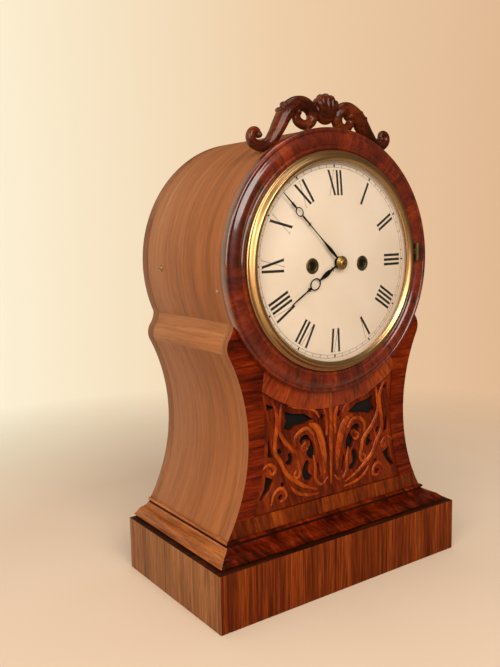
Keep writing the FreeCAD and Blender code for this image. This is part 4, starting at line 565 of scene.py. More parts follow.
def makeMoulding():
    half, length = moulding["half"], backFace - frontFace
    reach, height = ogee[0]
    deep = length + reach
    middle = backFace - deep / 2
    piece = addPiece(bpy.ops.mesh.primitive_plane_add, size=1, location=metres(0, middle, height))
    piece.scale = (2 * (half + reach) * mm, deep * mm, 1)
    settle(piece)
    editAll(piece)
    bpy.ops.mesh.delete(type="ONLY_FACE")
    bpy.ops.mesh.select_all(action="SELECT")
    for nextReach, nextHeight in ogee[1:]:
        step = metres(0, 0, nextHeight - height)
        bpy.ops.mesh.extrude_region_move(TRANSFORM_OT_translate={"value": step})
        grow = ((half + nextReach) / (half + reach), (length + nextReach) / (length + reach), 1)
        bpy.ops.transform.resize(value=grow, center_override=metres(0, backFace, nextHeight))
        reach, height = nextReach, nextHeight
    bpy.ops.mesh.extrude_region_move(TRANSFORM_OT_translate={"value": metres(0, 0, ogee[0][1] - height)})
    bpy.ops.mesh.select_all(action="SELECT")
    bpy.ops.mesh.remove_doubles(threshold=moulding["weld"] * mm)
    # The three lengths leave the back open, and their ends are closed
    sideFrom, backFrom = moulding["sideFrom"] * mm, (backFace - moulding["backLap"]) * mm
    editFaces(piece, lambda face: abs(face.center.x) < sideFrom and face.center.y > backFrom)
    bpy.ops.mesh.delete(type="FACE")
    bpy.ops.mesh.select_mode(type="VERT")
    bpy.ops.mesh.select_all(action="SELECT")
    bpy.ops.mesh.fill_holes(sides=0)
    bpy.ops.mesh.normals_make_consistent(inside=False)
    finishPiece(piece, "base_moulding_ogee", "ogee_rosewood", ["base_moulding", "base_bead"],
                sharp=moulding["sharp"])
    low, high = moulding["beadShadeBand"]
    addFinish(piece, "side_ogee_rosewood", lambda face: abs(face.center.x) > sideFrom)
    # The set-back strip under the lip and the quirk below the bead are darkened as painted shade
    addFinish(piece, "painted_shade_wood", lambda face: face.center.z < moulding["footShadeTop"] * mm
              or low * mm < face.center.z < high * mm)


makeMoulding()
print("base moulding made")

# Case: boards, bent sides, shoulders and drum
waist = {"foot": (132, 75), "low": (132, 57.5), "middle": (105.5, 170), "shoulder": (126, 253.5)}
shoulderTop = 283
shoulderPoints = ((126, 253.5), (127.4, 261.5), (124.6, 269.5), (120.9, 276.5), (119.74, shoulderTop))
drum = {"radius": 130.5, "wall": 8, "side": 9}
boards = {"dialHole": 96, "rearHole": (72, 112, 335), "drumFrom": 270, "waistCentre": 150, "edgeTilt": 0.6}
seam = 0.5
fretSize = {"halfFoot": 101, "bottom": 91.5, "height": 123.6, "halfWaist": 86, "waist": 168, "halfTop": 88.5,
            "topRadius": 149}


def sideRow(inset=0):
    row = arcThrough(waist["foot"], waist["middle"], waist["shoulder"], 40)
    return [(x - inset, z) for x, z in row]


def shoulderRow():
    low, bulge, turn, neck, top = shoulderPoints
    return arcThrough(low, bulge, turn, 10)[:-1] + arcThrough(turn, neck, top, 10)


def drumRow(radius):
    start = degrees(asin((shoulderTop - dialHeight) / drum["radius"]))
    return arcRow(0, dialHeight, radius, start, 180 - start, 110)


def caseOutline():
    right = [waist["low"]] + sideRow() + shoulderRow()[1:]
    return right + drumRow(drum["radius"])[1:-1] + mirrorRow(right)


def fretOutline():
    half, radius = fretSize["halfTop"], fretSize["topRadius"]
    high = dialHeight - sqrt(radius ** 2 - half ** 2)
    low, middle = (fretSize["halfFoot"], fretSize["bottom"]), (fretSize["halfWaist"], fretSize["waist"])
    right = arcThrough(low, middle, (half, high), 24)
    crown = arcThrough((half, high), (0, dialHeight - radius), (-half, high), 32)
    return right + crown[1:-1] + mirrorRow(right)


def archOutline(half, bottom, spring):
    return [(half, bottom)] + arcRow(0, spring, half, 0, 180, 48) + [(-half, bottom)]


def onOuterEdge(face):
    # The edge of the front board shows the side's wood
    middle = dialHeight if face.center.z > boards["drumFrom"] * mm else boards["waistCentre"]
    outward = face.center.x * face.normal.x + (face.center.z - middle * mm) * face.normal.z
    return abs(face.normal.y) < boards["edgeTilt"] and outward > 0


def makeCase():
    dialHole = arcRow(0, dialHeight, boards["dialHole"], 0, 360, 96)[:-1]
    front = flatShape([caseOutline(), dialHole, fretOutline()], frontFace, innerFront - frontFace, 0.5, 3)
    finishPiece(front, "front_board_veneered", "front_rosewood", ["front_board"], sharp=30)
    addFinish(front, "side_rosewood", onOuterEdge)
    rearHole = archOutline(*boards["rearHole"])
    back = flatShape([caseOutline(), rearHole], innerBack, backFace - innerBack, 0.4, 2)
    finishPiece(back, "back_board_polished", "back_mahogany", ["back_board"], sharp=30)
    radius, wall, thick = drum["radius"], drum["wall"], drum["side"]
    inner = sqrt((radius - wall) ** 2 - (dialHeight - shoulderTop) ** 2)
    x, z = waist["low"]
    side = [(x, z)] + sideRow() + sideRow(thick)[::-1] + [(x - thick, z)]
    band = shoulderRow() + [(inner, shoulderTop), (inner, waist["shoulder"][1])]
    shell = drumRow(radius) + drumRow(radius - wall)[::-1]
    for node, finish, outline, edge, steps in (("waist_sides", "side_rosewood", side, 0.25, 1),
                                               ("shoulder_mouldings", "band_rosewood", band, 0.3, 2),
                                               ("drum_shell", "side_rosewood", shell, 0.25, 1)):
        piece = flatShape([outline], innerFront, innerBack - innerFront - seam, edge, steps)
        if outline is not shell:
            piece = joinPieces([piece, mirrorCopy(piece)])
        finishPiece(piece, node + "_veneered", finish, [node], sharp=30)


makeCase()
print("case made")

# Holes of the pierced fret's left half, in hundredths of its half width and of its height
leafHoles = (
    ((-82, 89), (-72, 85), (-81, 83)),
    ((-60, 80), (-50, 77), (-35, 75), (-23, 69), (-35, 67),
     (-47, 66), (-54, 63.5), (-61, 66.5), (-58, 73)),
    ((-79, 62), (-77, 51), (-75, 44.5), (-81, 45.5), (-80.5, 56)),
    ((-65, 60), (-61, 60), (-60, 57), (-63, 55.5), (-66, 57.5)),
    ((-69, 50), (-67, 50.5), (-64, 46), (-66, 45.5)),
    ((-55, 45), (-50, 41), (-50, 36), (-54, 35), (-59, 38), (-56, 40)),
    ((-41, 54), (-32.5, 57), (-25.5, 51.5), (-20.5, 41), (-23.5, 36),
     (-32.5, 42), (-27.5, 50), (-32.5, 53), (-38, 50)),
    ((-35.5, 33), (-30.5, 35), (-30, 25), (-25.5, 19), (-35.5, 20)),
    ((-17, 33), (-14, 20), (-15.5, 19), (-19, 30)),
    ((-84, 30), (-74, 26), (-80, 18), (-88, 11.5), (-92, 12), (-86, 20)),
    ((-64.5, 22), (-61.5, 20), (-63, 18), (-65.5, 19.5)),
    ((-69, 10), (-66, 12), (-63.5, 10), (-66, 8)),
    ((-12.5, 72), (-9, 70), (-10, 67), (-13.5, 69)))
softHoles = (3, 4, 5, 6, 7, 10, 11, 12)  # drawn as curves
# Raised stems and leaves of the carving, each a row of x, z and half width
fretStems = (
    ((-77, 204, 0.6), (-71, 193, 1.7), (-70, 178, 2.1), (-72.5, 163, 1.9), (-72.5, 150, 1.8),
     (-66, 140, 1.9), (-60, 128, 2), (-48, 117, 1.9), (-36, 109, 1.6), (-20, 102, 0.8)),
    ((-64, 199, 0.6), (-66, 187, 1.5), (-67, 173, 1.7), (-59, 158, 2.1), (-52, 151, 2.1),
     (-45.5, 144, 1.9), (-43, 133, 1.8), (-41.5, 124, 1.6), (-45, 119.5, 1.3), (-49, 123, 1.1),
     (-46.6, 126.5, 1.2)),
    ((-30, 173, 1), (-20, 168, 3), (-13, 153, 3.6), (-9.5, 137, 2.8), (-8.5, 118, 1.2)),
    ((-47, 152, 0.8), (-47.5, 161, 1.5), (-41, 167, 1.8), (-31, 168.5, 1.7), (-24, 161, 1.2)),
    ((-31, 148, 0.7), (-35.5, 146, 1.4), (-38.5, 150, 1.4), (-35, 153.4, 1.2)),
    ((-89, 136, 0.7), (-82, 140, 1.5), (-75.5, 137.5, 1.6), (-73.6, 131.5, 1.5), (-78, 130, 1.2),
     (-79.2, 133.8, 1.1)),
    ((-79, 98, 0.7), (-73.5, 110, 1.5), (-67, 113, 1.6), (-60.5, 108, 1.5), (-61, 101, 1.3),
     (-66.5, 99.5, 1.1)),
    ((-54, 112, 0.8), (-46, 104, 1.6), (-34, 99, 1.5), (-18, 97, 0.8)),
    ((-24, 139, 0.6), (-21.5, 126, 1.5), (-20.5, 112, 1.6), (-12, 106, 1.2), (-5, 112, 0.8)),
    ((-12, 190, 0.7), (-7.5, 182, 1.7), (-5.6, 170, 1.7), (-6, 158, 1.1)),
    ((-56, 196, 0.7), (-46, 193, 1.6), (-32, 190, 1.7), (-20, 184, 1.2), (-16, 178, 0.7)))
fretCore = ((0, 200, 0.8), (0, 186, 2.6), (0, 172, 1.8), (0, 152, 2.8), (0, 132, 2), (0, 104, 1))
fret = {"front": 1.2, "depth": 4.5, "edge": 0.7, "carving": 1.4, "bold": 1.25, "flat": 0.6, "rise": 1.5}


def makeFret():
    width, height = fretSize["halfFoot"], fretSize["height"]
    holes = []
    for hole in leafHoles:
        row = [(x / 100 * width, fretSize["bottom"] + z / 100 * height) for x, z in hole]
        holes += [row, mirrorRow(row)]
    soft = [number + 1 for number in range(len(holes)) if number // 2 in softHoles]
    front = frontFace + fret["front"]
    parts = [flatShape([fretOutline()] + holes, front, fret["depth"], fret["edge"], 3, soft, 5)]
    ground = len(parts[0].data.polygons)
    y = frontFace + fret["carving"]
    for stem in fretStems:
        points = [(x, y, z, half * fret["bold"]) for x, z, half in stem]
        rod = carvedRod(points, 4, 6, min(fret["flat"], fret["rise"] / max(point[3] for point in points)))
        leaf = joinPieces([rod, addBall(*points[-1], (1, 0.5, 1))])
        settle(leaf)
        parts += [leaf, mirrorCopy(leaf)]
    parts.append(carvedRod([(x, y, z, half) for x, z, half in fretCore], flat=0.35))
    panel = joinPieces(parts)
    finishPiece(panel, "fret_panel_carved", "fret_rosewood", ["fret_panel"], sharp=50)
    # The raised stems and leaves get the lighter finish, a painted highlight on the carving
    addFinish(panel, "leaf_painted_highlight_rosewood", lambda face: face.index >= ground)


makeFret()
print("fret made")

# Moulded ring round the dial, brass bezel, glass and dial; rows of radius and rise over the front board
ringRows = (
    (131.5, 0), (131.5, 4.2), (131.2, 5.6), (130.4, 6.8), (129.4, 7.4), (128.4, 7.4), (127.6, 6.9),
    (127.1, 6.3), (126.4, 6.5), (125, 7.6), (123.4, 8.4), (121.6, 8.9), (119.8, 9), (118, 8.8),
    (116.4, 8.3), (115.2, 7.6), (114.5, 6.9), (114, 6.8), (113.5, 7.3), (112.8, 7.9), (112, 8.1),
    (111.2, 7.9), (110.5, 7.3), (110.1, 6.5), (110, 6.2), (104.6, 6.2), (104.6, 0), (131.5, 0))
bezelRows = (
    (109.3, 6.5), (109.3, 8), (109.1, 8.7), (108.6, 9.3), (107.9, 9.5), (107.3, 9.3), (106.8, 9.6),
    (106.2, 10.1), (105.7, 10.9), (105.2, 12), (104.7, 13.1), (104.1, 13.8), (103.4, 14.1), (102.6, 14.1),
    (101.8, 13.9), (101, 13.5), (100.2, 12.7), (99.5, 11.9), (99, 11.6), (99, 11.1), (101.4, 11.1),
    (101.4, 6.5), (109.3, 6.5))
glass = {"rim": 101.3, "radius": 98.9, "edge": -75.5, "bulge": 11.5, "thick": 1.7}
dial = {"radius": 103, "edge": -68.9, "bulge": 6.5, "thick": 1.3, "winding": (32.7, 333), "windingHole": 5.6,
        "centreHole": 5, "drillAt": -73, "drillDepth": 20}


def domeRow(radius, edge, bulge, count=14):
    shares = [1 - step / count for step in range(count + 1)]
    return [(radius * share, edge - bulge * (1 - share ** 2)) for share in shares]


def dialFront(radius):
    return dial["edge"] - dial["bulge"] * (1 - (radius / dial["radius"]) ** 2)


def makeDialParts():
    for rows, name, finish, node, body in (
            (ringRows, "dial_surround_turned", "ring_rosewood", "dial_surround", "case"),
            (bezelRows, "bezel_ring_turned", "bezel_brass", "bezel_ring", "bezel")):
        ring = turned([(radius, frontFace - rise) for radius, rise in rows], sides=192)
        finishPiece(ring, name, finish, [node], body, 50)
    outer = [(glass["rim"], glass["edge"])] + domeRow(glass["radius"], glass["edge"], glass["bulge"])
    inner = [(radius, y + glass["thick"]) for radius, y in reversed(outer)]
    dome = turned(outer + inner + outer[:1], sides=128)
    finishPiece(dome, "bezel_glass_domed", "clear_glass", ["bezel_glass"], "bezel", 60)
    face = domeRow(dial["radius"], dial["edge"], dial["bulge"], 18)
    back = [(radius, y + dial["thick"]) for radius, y in reversed(face)]
    plate = turned(face + back + face[:1], sides=160)
    x, z = dial["winding"]
    for holeX, holeZ, radius in ((-x, z, dial["windingHole"]), (x, z, dial["windingHole"]),
                                 (0, dialHeight, dial["centreHole"])):
        cutAway(plate, addDrill(holeX, dial["drillAt"], holeZ, radius, dial["drillDepth"]))
    finishPiece(plate, "dial_plate_painted", "painted_dial", ["dial_plate"], sharp=40)


makeDialParts()
print("dial parts made")

# Roman numerals and the minute circle, painted on the dial
figures = {"foot": 66, "height": 24.5, "thick": 2.6, "thin": 0.4, "serif": 0.28, "paint": 0.05,
           "wide": {"I": 4.7, "V": 9, "X": 10},
           "numerals": ("XII", "I", "II", "III", "IIII", "V", "VI", "VII", "VIII", "IX", "X", "XI")}
minuteCircle = {"inner": 93, "outer": 96.2, "line": 0.3, "tick": 0.4, "mark": 1.1, "point": 0.4}


def strokeOutline(x0, z0, x1, z1, wide, steps=5):
    # A stroke from its foot to its head, cut square across the letter
    left = [(x0 + (x1 - x0) * step / steps - wide / 2, z0 + (z1 - z0) * step / steps)
            for step in range(steps + 1)]
    return left + [(x + wide, z) for x, z in reversed(left)]


def letterStrokes(letter, x):
    top = figures["height"]
    thick, thin, serif = figures["thick"], figures["thin"], figures["serif"]
    low, high = serif, top - serif
    if letter == "I":
        heavy = [(x, 0, x, top, thick)]
        fine = [(x, 0, x, serif, thick + 0.9), (x, high, x, top, thick + 0.9)]
    elif letter == "V":
        heavy = [(x + 0.2, 0, x - 3, top, thick)]
        fine = [(x + 0.9, low, x + 3.6, high, thin), (x - 3, high, x - 3, top, thick + 1.6),
                (x + 3.6, high, x + 3.6, top, 2.6)]
    else:
        heavy = [(x + 3.3, 0, x - 3.3, top, thick)]
        fine = [(x - 3.3, low, x + 3.3, high, thin), (x - 3.3, high, x - 3.3, top, thick + 1.6),
                (x + 3.3, high, x + 3.3, top, 2.8), (x - 3.3, 0, x - 3.3, serif, 2.8),
                (x + 3.3, 0, x + 3.3, serif, thick + 1.6)]
    return heavy, fine


def onDial(x, z, bearing):
    turn = radians(bearing)
    return (x * cos(turn) + z * sin(turn), dialHeight - x * sin(turn) + z * cos(turn))


def layOnDial(piece, lift):
    for corner in piece.data.vertices:
        radius = hypot(corner.co.x, corner.co.z - dialHeight * mm) / mm
        corner.co.y += (dialFront(radius) - lift) * mm
    return piece


def makeNumerals():
    heavyRows, fineRows = [], []
    for hour, numeral in enumerate(figures["numerals"]):
        x = -sum(figures["wide"][letter] for letter in numeral) / 2
        for letter in numeral:
            step = figures["wide"][letter]
            heavy, fine = letterStrokes(letter, x + step / 2)
            x += step
            for rows, strokes in ((heavyRows, heavy), (fineRows, fine)):
                for stroke in strokes:
                    row = strokeOutline(*stroke)
                    rows.append([onDial(px, figures["foot"] + pz, hour * 30) for px, pz in row])
    inks = []
    for rows, lift in ((heavyRows, figures["paint"]), (fineRows, figures["paint"] + 0.01)):
        ink = joinPieces([flatShape([row], 0, figures["paint"], 0.001, 0) for row in rows])
        # Subdivided, so that the long strokes follow the dome
        addModifier(ink, "SUBSURF", subdivision_type="SIMPLE", levels=1, render_levels=1)
        inks.append(layOnDial(ink, lift))
    finishPiece(joinPieces(inks), "dial_numerals_painted", "dial_black")


def makeMinuteCircle():
    parts = []
    low, high, point = minuteCircle["inner"], minuteCircle["outer"], minuteCircle["point"]
    for radius in (low, high):
        far = radius + minuteCircle["line"]
        rows = [(radius, dialFront(radius) + 0.1), (radius, dialFront(radius) - 0.04),
                (far, dialFront(far) - 0.04), (far, dialFront(far) + 0.1)]
        parts.append(turned(rows + rows[:1], sides=160))
    for minute in range(60):
        if minute % 5:
            half = minuteCircle["tick"] / 2
            row = [(-half, low), (half, low), (half, high), (-half, high)]
        else:
            half, middle = minuteCircle["mark"], (low + high) / 2
            row = [(0, low - point), (half, middle), (0, high + point), (-half, middle)]
        tick = flatShape([[onDial(x, z, minute * 6) for x, z in row]], 0, 0.05, 0.001, 0)
        parts.append(layOnDial(tick, 0.045))
    finishPiece(joinPieces(parts), "dial_minute_circle", "dial_black")


makeNumerals()
makeMinuteCircle()
print("figures painted")

# Hands, collet and winding ferrules
minuteHand = {"length": 95, "bearing": -44.2, "plane": -80.4, "dip": 6.2, "boss": 4.6, "thickness": 0.8,
              "leaf": ((0, 1.5), (0.07, 0.9), (0.12, 1.3), (0.19, 1.8), (0.26, 1.2), (0.33, 0.6), (0.5, 0.45),
                       (0.68, 0.45)),
              "tip": ((0.79, 0.5), (0.88, 0.6), (0.97, 0.35), (1, 0.12)),
              "loop": (0.735, 4.6, 3.6, 0.62), "crosses": ((0.56, 2.6), (0.85, 2.3))}
hourHand = {"length": 70.8, "bearing": 237.2, "plane": -77.8, "dip": 1.4, "boss": 6.4, "thickness": 0.8,
            "leaf": ((0, 1.6), (0.1, 0.9), (0.17, 1.1), (0.22, 2), (0.28, 2.5), (0.34, 1.9), (0.4, 0.8),
                     (0.44, 0.7)),
            "tip": ((0.6, 0.7), (0.7, 0.55), (0.78, 0.75), (0.9, 0.6), (1, 0.15)),
            "loop": (0.515, 6.2, 5.2, 0.72), "crosses": ((0.152, 3), (0.645, 2.6))}
crossEnd, crossNeck = 1.4, (0.7, 0.5)
bore = 2.5
collarRise = 0.6
colletRows = ((1.45, -80.4), (6.4, -80.4), (6.8, -80.7), (6.8, -81.4), (6.4, -81.7), (5.2, -81.8),
              (4.8, -82.1), (4.8, -82.6), (4.3, -82.9), (3.6, -83), (3.3, -83.4), (3.1, -84), (2.6, -84.35),
              (1.45, -84.4), (1.45, -80.4))
ferruleRows = ((4.75, -75.2), (5.2, -75.5), (6.6, -75.5), (7.3, -75.4), (7.75, -74.9), (7.75, -74.4),
               (5.6, -74.4), (5.6, -70.9), (4.75, -70.9), (4.75, -75.2))


def makeHand(look, name, node, body):
    length, thick, boss = look["length"], look["thickness"], look["boss"]
    parts = []
    for rows in (look["leaf"], look["tip"]):
        right = [(wide, share * length) for share, wide in rows]
        parts.append(flatShape([right + mirrorRow(right)], 0, thick, 0.15, 2, (0,), 5))
    share, high, wide, wire = look["loop"]
    parts.append(addPiece(bpy.ops.mesh.primitive_torus_add, major_segments=48, minor_segments=12,
                          major_radius=high * mm, minor_radius=wire * mm,
                          location=metres(0, thick / 2, share * length), rotation=faceOn))
    bpy.ops.transform.resize(value=(wide / high, 0.7, 1))
    neck, rise = crossNeck
    for share, reach in look["crosses"]:
        z = share * length
        right = [(neck, z - rise), (reach, z), (neck, z + rise)]
        row = [(0, z - crossEnd)] + right + [(0, z + crossEnd)] + mirrorRow(right)
        parts.append(flatShape([row], 0, thick, 0.15, 2))
    bossRows = [(bore, 0), (boss, 0), (boss, collarRise), (boss - 0.3, thick), (bore, thick), (bore, 0)]
    parts.append(turned(bossRows, z=0, sides=48))
    hand = joinPieces(parts)
    settle(hand)
    for corner in hand.data.vertices:
        # The blade leans back from its boss towards the dial
        corner.co.y += look["dip"] * max(0.0, corner.co.z / mm - boss) / length * mm
    hand.rotation_euler = (0, radians(look["bearing"]), 0)
    hand.location = metres(0, look["plane"], dialHeight)
    finishPiece(hand, name, "blued_steel", [node], body, 40)


def makeHandsAndCollet():
    makeHand(minuteHand, "minute_hand_blued", "minute_hand", "minute_work")
    makeHand(hourHand, "hour_hand_blued", "hour_hand", "hour_work")
    collet = turned(colletRows, sides=64)
    finishPiece(collet, "hand_collet_turned", "clock_brass", ["hand_collet"], "minute_work", 40)
    x, z = dial["winding"]
    ferrules = joinPieces([turned(ferruleRows, side * x, z, 64) for side in (-1, 1)])
    finishPiece(ferrules, "winding_ferrules_turned", "dark_brass", ["winding_ferrules"], sharp=50)


makeHandsAndCollet()
print("hands made")

# Carved cresting: two arms that roll into volutes, a shell between them and a scroll at each end.
# Each stem is a row of x, z and radius.
cresting = {
    "middle": -56.5, "voxel": 0.62, "smooth": 8, "scrollLap": 0.8, "drumFit": 130.52,
    "leftArm": (
        (-81.5, 456.5, 2.4), (-83.5, 460.2, 3.4), (-89.2, 458.6, 4.4), (-90, 451.8, 4.9),
        (-84.5, 447.4, 5.1), (-77, 446.6, 5.3), (-70, 449.5, 5.9), (-63, 457.5, 6.6), (-57, 467, 7.5),
        (-50.5, 477, 8), (-42.5, 484.5, 7.8), (-33, 488.2, 7.4), (-24, 487.2, 6.9), (-17.5, 481.5, 6.3),
        (-17, 474, 5.6), (-22.5, 469, 5), (-30, 469.2, 4.8), (-35.8, 473.5, 4.6), (-36.5, 479.5, 3.8)),
    "rightArm": (
        (76, 459.5, 2.4), (76.5, 464, 3.2), (81.5, 464.6, 4), (83.6, 459.5, 4.6), (80, 454.3, 4.9),
        (73, 452.2, 5.2), (65.5, 454.5, 6), (58, 461, 7), (51, 469, 7.8), (44.5, 477.5, 8), (36, 484, 7.7),
        (27.5, 486.8, 7.3), (19.5, 484, 6.6), (15.5, 477.5, 6), (17.5, 470.5, 5.4), (24, 467.6, 5),
        (30.5, 469.8, 4.7), (33.2, 475, 4.3), (31.5, 479.8, 3.4)),
    "shell": ((-11.8, 493.2, 3), (-6.6, 497, 3.3), (0, 498, 3.5), (6.6, 497, 3.3), (11.8, 493.2, 3)),
    "knobs": ((-57.3, 480.6, 2.6), (-52, 486.4, 2.4), (52.2, 479, 2.6), (46.8, 484.4, 2.4)),
    "core": (0, 484, 1), "coreSize": (13.4, 7.4, 14)}


def makeCresting():
    middle = cresting["middle"]
    parts = []
    for arm in (cresting["leftArm"], cresting["rightArm"]):
        parts.append(carvedRod([(x, middle, z, radius) for x, z, radius in arm], 6))
        # A raised rib runs down the face of each arm
        rib = [(x, middle - radius * 0.86, z, radius * 0.22) for x, z, radius in arm[5:14]]
        parts.append(carvedRod(rib, 3))
        for x, z, radius in (arm[0], arm[-1]):
            parts.append(addBall(x, middle, z, radius + cresting["scrollLap"], (1, 1.6, 1), 20, 12))
    for x, z, radius in cresting["shell"]:
        lobe = [(x * 0.25, middle, 473, 2.2), (x * 0.55, middle - 4.6, 480, radius * 0.8),
                (x * 0.85, middle - 5, 489, radius * 0.95), (x * 0.96, middle - 2.5, z - 1.6, radius * 0.9),
                (x * 0.9, middle + 2.5, z - 1.6, radius * 0.8), (x * 0.8, middle + 4.6, 488, radius * 0.8)]
        parts.append(carvedRod(lobe, 5))
    x, z, radius = cresting["core"]
    parts.append(addBall(x, middle, z, radius, cresting["coreSize"], 32, 20))
    for x, z, radius in cresting["knobs"]:
        parts.append(addBall(x, middle, z, radius, (1, 2, 1), 16, 10))
    carving = joinPieces(parts)
    settle(carving)
    addModifier(carving, "REMESH", mode="VOXEL", voxel_size=cresting["voxel"] * mm)
    addModifier(carving, "SMOOTH", factor=0.5, iterations=cresting["smooth"])
    cutAway(carving, addDrill(0, middle, dialHeight, cresting["drumFit"], 60, 240))
    finishPiece(carving, "cresting_carved", "carved_rosewood", ["cresting"], sharp=60)


makeCresting()
print("cresting made")

# Veneer laid over the front board: a band round the ring and the lower rail
veneer = {"proud": 0.12, "bandOuter": 149, "bandInner": 130, "bandHalf": 88.5, "bandFlare": 1.12,
          "railHigh": 91.5, "railInset": 0.3, "railReach": 27.3}


def makeVeneers():
    half = degrees(asin(veneer["bandHalf"] / veneer["bandOuter"]))
    flare = half * veneer["bandFlare"]
    band = arcRow(0, dialHeight, veneer["bandOuter"], 270 - half, 270 + half, 60)
    band += arcRow(0, dialHeight, veneer["bandInner"], 270 + flare, 270 - flare, 60)
    high, proud = veneer["railHigh"], veneer["proud"]
    rail = [(x - veneer["railInset"], z) for x, z in sideRow() if z < high]
    rail.append((fretSize["halfFoot"] + veneer["railReach"], high))
    # The band under the ring carries partly painted light
    for outline, name, finish in ((band, "front_band_veneer", "crossband_painted_light_rosewood"),
                                  (rail + mirrorRow(rail), "front_rail_veneer", "rail_rosewood")):
        finishPiece(flatShape([outline], frontFace - proud, proud * 2, 0.05, 1), name, finish)


makeVeneers()
print("veneers laid")

# Silk stretched behind the fret
silkSheet = {"behind": 5.75, "thick": 0.4, "edge": 0.05}


def makeSilk():
    outline = fretOutline()
    silk = flatShape([outline], frontFace + silkSheet["behind"], silkSheet["thick"], silkSheet["edge"], 0)
    finishPiece(silk, "fret_silk_stretched", "dark_silk", ["fret_silk"])


makeSilk()
print("silk stretched")

# Rear door frame with a rebate for its glass, and the pendulum bob
rearDoor = {"half": 71.4, "bottom": 112.6, "spring": 335, "frame": 15, "rebate": 3, "knob": (62.4, 240, 2.2),
            "layers": ((0, 81.5, 10, 1), (3, 79.5, 2, 0.2))}
bob = {"radius": 24, "height": 144.58, "front": 31.4, "back": 44.4,
       "rim": ((0, 0), (0.36, 0.02), (0.64, 0.09), (0.84, 0.2), (0.95, 0.33), (0.985, 0.42), (1, 0.46),
               (1, 0.54), (0.985, 0.58), (0.95, 0.67), (0.84, 0.8), (0.64, 0.91), (0.36, 0.98), (0, 1))}


def makeDoorAndBob():
    half, bottom, spring = rearDoor["half"], rearDoor["bottom"], rearDoor["spring"]
    knobHole = arcRow(*rearDoor["knob"], 0, 360, 32)[:-1]
    parts = []
    for rebate, front, depth, edge in rearDoor["layers"]:
        wide = rearDoor["frame"] - rebate
        rim, sight = archOutline(half, bottom, spring), archOutline(half - wide, bottom + wide, spring)
        parts.append(flatShape([rim, sight, knobHole], front, depth, edge, 3))
    finishPiece(joinPieces(parts), "rear_door_moulded", "door_mahogany", ["rear_door"], "door", 30)
    front, back = bob["front"], bob["back"]
    rows = [(share * bob["radius"], front + (back - front) * place) for share, place in bob["rim"]]
    disc = turned(rows, z=bob["height"])
    finishPiece(disc, "pendulum_bob_turned", "bezel_brass", ["pendulum_bob"], "pendulum", 30)


makeDoorAndBob()
print("door and bob made")

# Screws in the drum's sides, each with depth, height, radius and rise of its head
sideScrews = {"brass": (51.4, 331.2, 3.4, 1.5), "dark": (-51.8, 313.4, 1.9, 0.7), "slotTurn": 35, "shank": -2}


def makeScrew(y, z, radius, rise, side):
    # A domed head with a slot, set on the round side of the drum
    shank = sideScrews["shank"]
    rows = [(0, rise), (radius * 0.45, rise * 0.9), (radius * 0.8, rise * 0.6), (radius, rise * 0.15),
            (radius, shank), (0, shank)]
    screw = turned([(reach, -height) for reach, height in rows], z=0, sides=40)
    slot = addPiece(bpy.ops.mesh.primitive_cube_add, size=1, location=metres(0, -rise, 0))
    bpy.ops.transform.resize(value=(3 * radius * mm, 0.9 * rise * mm, 0.16 * 2 * radius * mm))
    slot.rotation_euler = (0, radians(sideScrews["slotTurn"]), 0)
    cutAway(screw, slot)
    half = sqrt(drum["radius"] ** 2 - (z - dialHeight) ** 2)
    lean = atan2(z - dialHeight, half)
    screw.rotation_euler = (0, -lean * side, side * pi / 2)
    screw.location = metres(side * half, y, z)
    return screw


def makeScrews():
    for kind, finish in (("brass", "dark_brass"), ("dark", "pale_steel")):
        heads = [makeScrew(*sideScrews[kind], side) for side in (-1, 1)]
        finishPiece(joinPieces(heads), "side_screws_" + kind, finish, sharp=30)


makeScrews()
print("screws made")

# Studio, camera and lamps, in metres
cameraSpot = {"place": (-0.50748, -0.64325, 0.37370), "yaw": 0.612184, "pitch": -0.141774, "roll": -0.020023,
              "lens": 41.016}
lamps = {"key_lamp": ((-1.45, -0.95, 0.85), (0, 0, 0.28), 1.1, 23, (1, 0.93, 0.84)),
         "front_lamp": ((-0.45, -2, 1.5), (0, 0, 0.25), 1.2, 38, (1, 0.94, 0.86)),
         "top_lamp": ((-0.1, 0.2, 1.9), (0, 0, 0.3), 1, 6, (1, 0.95, 0.88))}
studio = {"floorRadius": 1.6, "floor": ((0.3, (216, 192, 168)), (0.7, (220, 197, 173))),
          "fade": ((0.36, 0.0), (0.95, 1.0)), "glossFade": 0.65, "light": (1, 0.93, 0.84, 1),
          "strength": 0.42, "brightSide": (-0.82, 0.57, 0), "polishSees": (250, 230, 196),
          "backdrop": ((0.0, (218, 174, 136)), (0.45, (238, 206, 168)), (0.9, (255, 245, 216)))}


def makeCamera():
    yaw, pitch, roll = cameraSpot["yaw"], cameraSpot["pitch"], cameraSpot["roll"]
    ahead = Vector((sin(yaw) * cos(pitch), cos(yaw) * cos(pitch), sin(pitch)))
    level = Vector((cos(yaw), -sin(yaw), 0))
    above = level.cross(ahead)
    right = cos(roll) * level + sin(roll) * above
    up = cos(roll) * above - sin(roll) * level
    data = setAll(bpy.data.cameras.new("camera"), lens=cameraSpot["lens"], sensor_width=36)
    camera = bpy.data.objects.new("camera", data)
    bpy.context.collection.objects.link(camera)
    turn = Matrix((right, up, -ahead)).transposed().to_4x4()
    camera.matrix_world = Matrix.Translation(cameraSpot["place"]) @ turn
    bpy.context.scene.camera = camera


def makeLamps():
    for name, (place, target, size, power, colour) in lamps.items():
        data = setAll(bpy.data.lights.new(name, "AREA"), size=size, energy=power, color=colour)
        lamp = bpy.data.objects.new(name, data)
        bpy.context.collection.objects.link(lamp)
        lamp.location = place
        lamp.rotation_euler = (Vector(target) - Vector(place)).to_track_quat("-Z", "Y").to_euler()


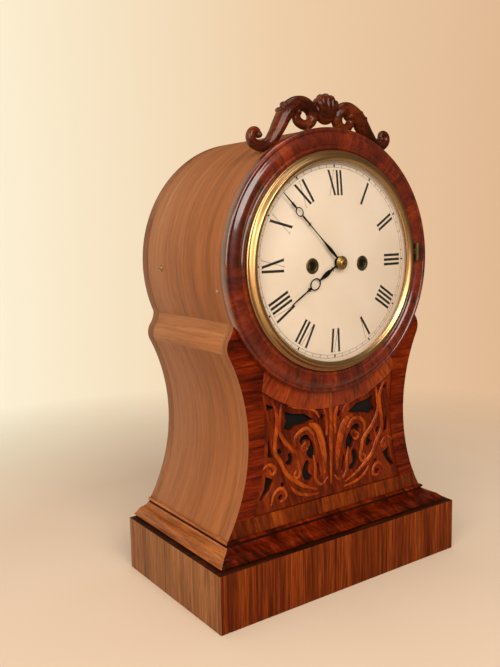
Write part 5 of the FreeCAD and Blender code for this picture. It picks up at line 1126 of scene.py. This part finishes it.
def makeFloor():
    # The floor fades out at its rim, so no edge is seen
    floor = addPiece(bpy.ops.mesh.primitive_circle_add, vertices=96, radius=studio["floorRadius"],
                     fill_type="NGON", location=(0, 0, 0))
    floor.name = "studio_floor"
    tree, shader, place = newFinish("studio_floor_paint")
    base = addRamp(tree, addNoise(tree, place, 3.0, 2.0), *studio["floor"])
    fillSockets(tree, shader, {"Base Color": base, "Roughness": 0.9, "Specular IOR Level": 0.1})
    reach = addNode(tree, "VectorMath", {0: place}, operation="LENGTH").outputs["Value"]
    fade = addRamp(tree, reach, *studio["fade"])
    glossy = addNode(tree, "LightPath").outputs["Is Glossy Ray"]
    fade = addMix(tree, studio["glossFade"], fade, addMath(tree, "MAXIMUM", fade, glossy))
    clear = addNode(tree, "BsdfTransparent")
    rim = addNode(tree, "MixShader", {0: fade, 1: shader.outputs[0], 2: clear.outputs[0]})
    fillSockets(tree, tree.nodes["Material Output"], {"Surface": rim.outputs[0]})
    floor.data.materials.append(finishes["studio_floor_paint"])


def makeWorld():
    world = bpy.data.worlds.new("studio")
    bpy.context.scene.world = world
    world.use_nodes = True
    tree = world.node_tree
    light = addNode(tree, "Background", {"Color": studio["light"], "Strength": studio["strength"]})
    place = addNode(tree, "TexCoord").outputs["Generated"]
    # The backdrop is painted lighter towards the left of the view and darker to the right, as painted lamp
    # light and shade
    side = addNode(tree, "VectorMath", {0: place, 1: studio["brightSide"]}, operation="DOT_PRODUCT")
    side = side.outputs["Value"]
    share = addNode(tree, "MapRange", {"Value": side, "From Min": -0.45, "From Max": 0.45}).outputs[0]
    shade = addRamp(tree, share, *studio["backdrop"])
    backdrop = addNode(tree, "Background", {"Color": shade, "Strength": 1.0})
    # What polished faces see is dim in front and bright on the left
    bright = addNode(tree, "MapRange", {"Value": side, "From Min": 0.3, "From Max": 0.75, "To Min": 0.1,
                                        "To Max": 1.9}).outputs[0]
    polish = addNode(tree, "Background", {"Color": tone(*studio["polishSees"]), "Strength": bright})
    ray = addNode(tree, "LightPath").outputs
    seen = addMath(tree, "MAXIMUM", ray["Is Camera Ray"], ray["Is Transmission Ray"])
    gloss = addNode(tree, "MixShader", {0: ray["Is Glossy Ray"], 1: light.outputs[0], 2: polish.outputs[0]})
    mix = addNode(tree, "MixShader", {0: seen, 1: gloss.outputs[0], 2: backdrop.outputs[0]})
    fillSockets(tree, tree.nodes["World Output"], {"Surface": mix.outputs[0]})


makeCamera()
makeFloor()
makeWorld()
makeLamps()
bpy.context.scene.view_settings.view_transform = "Standard"
print("studio made")
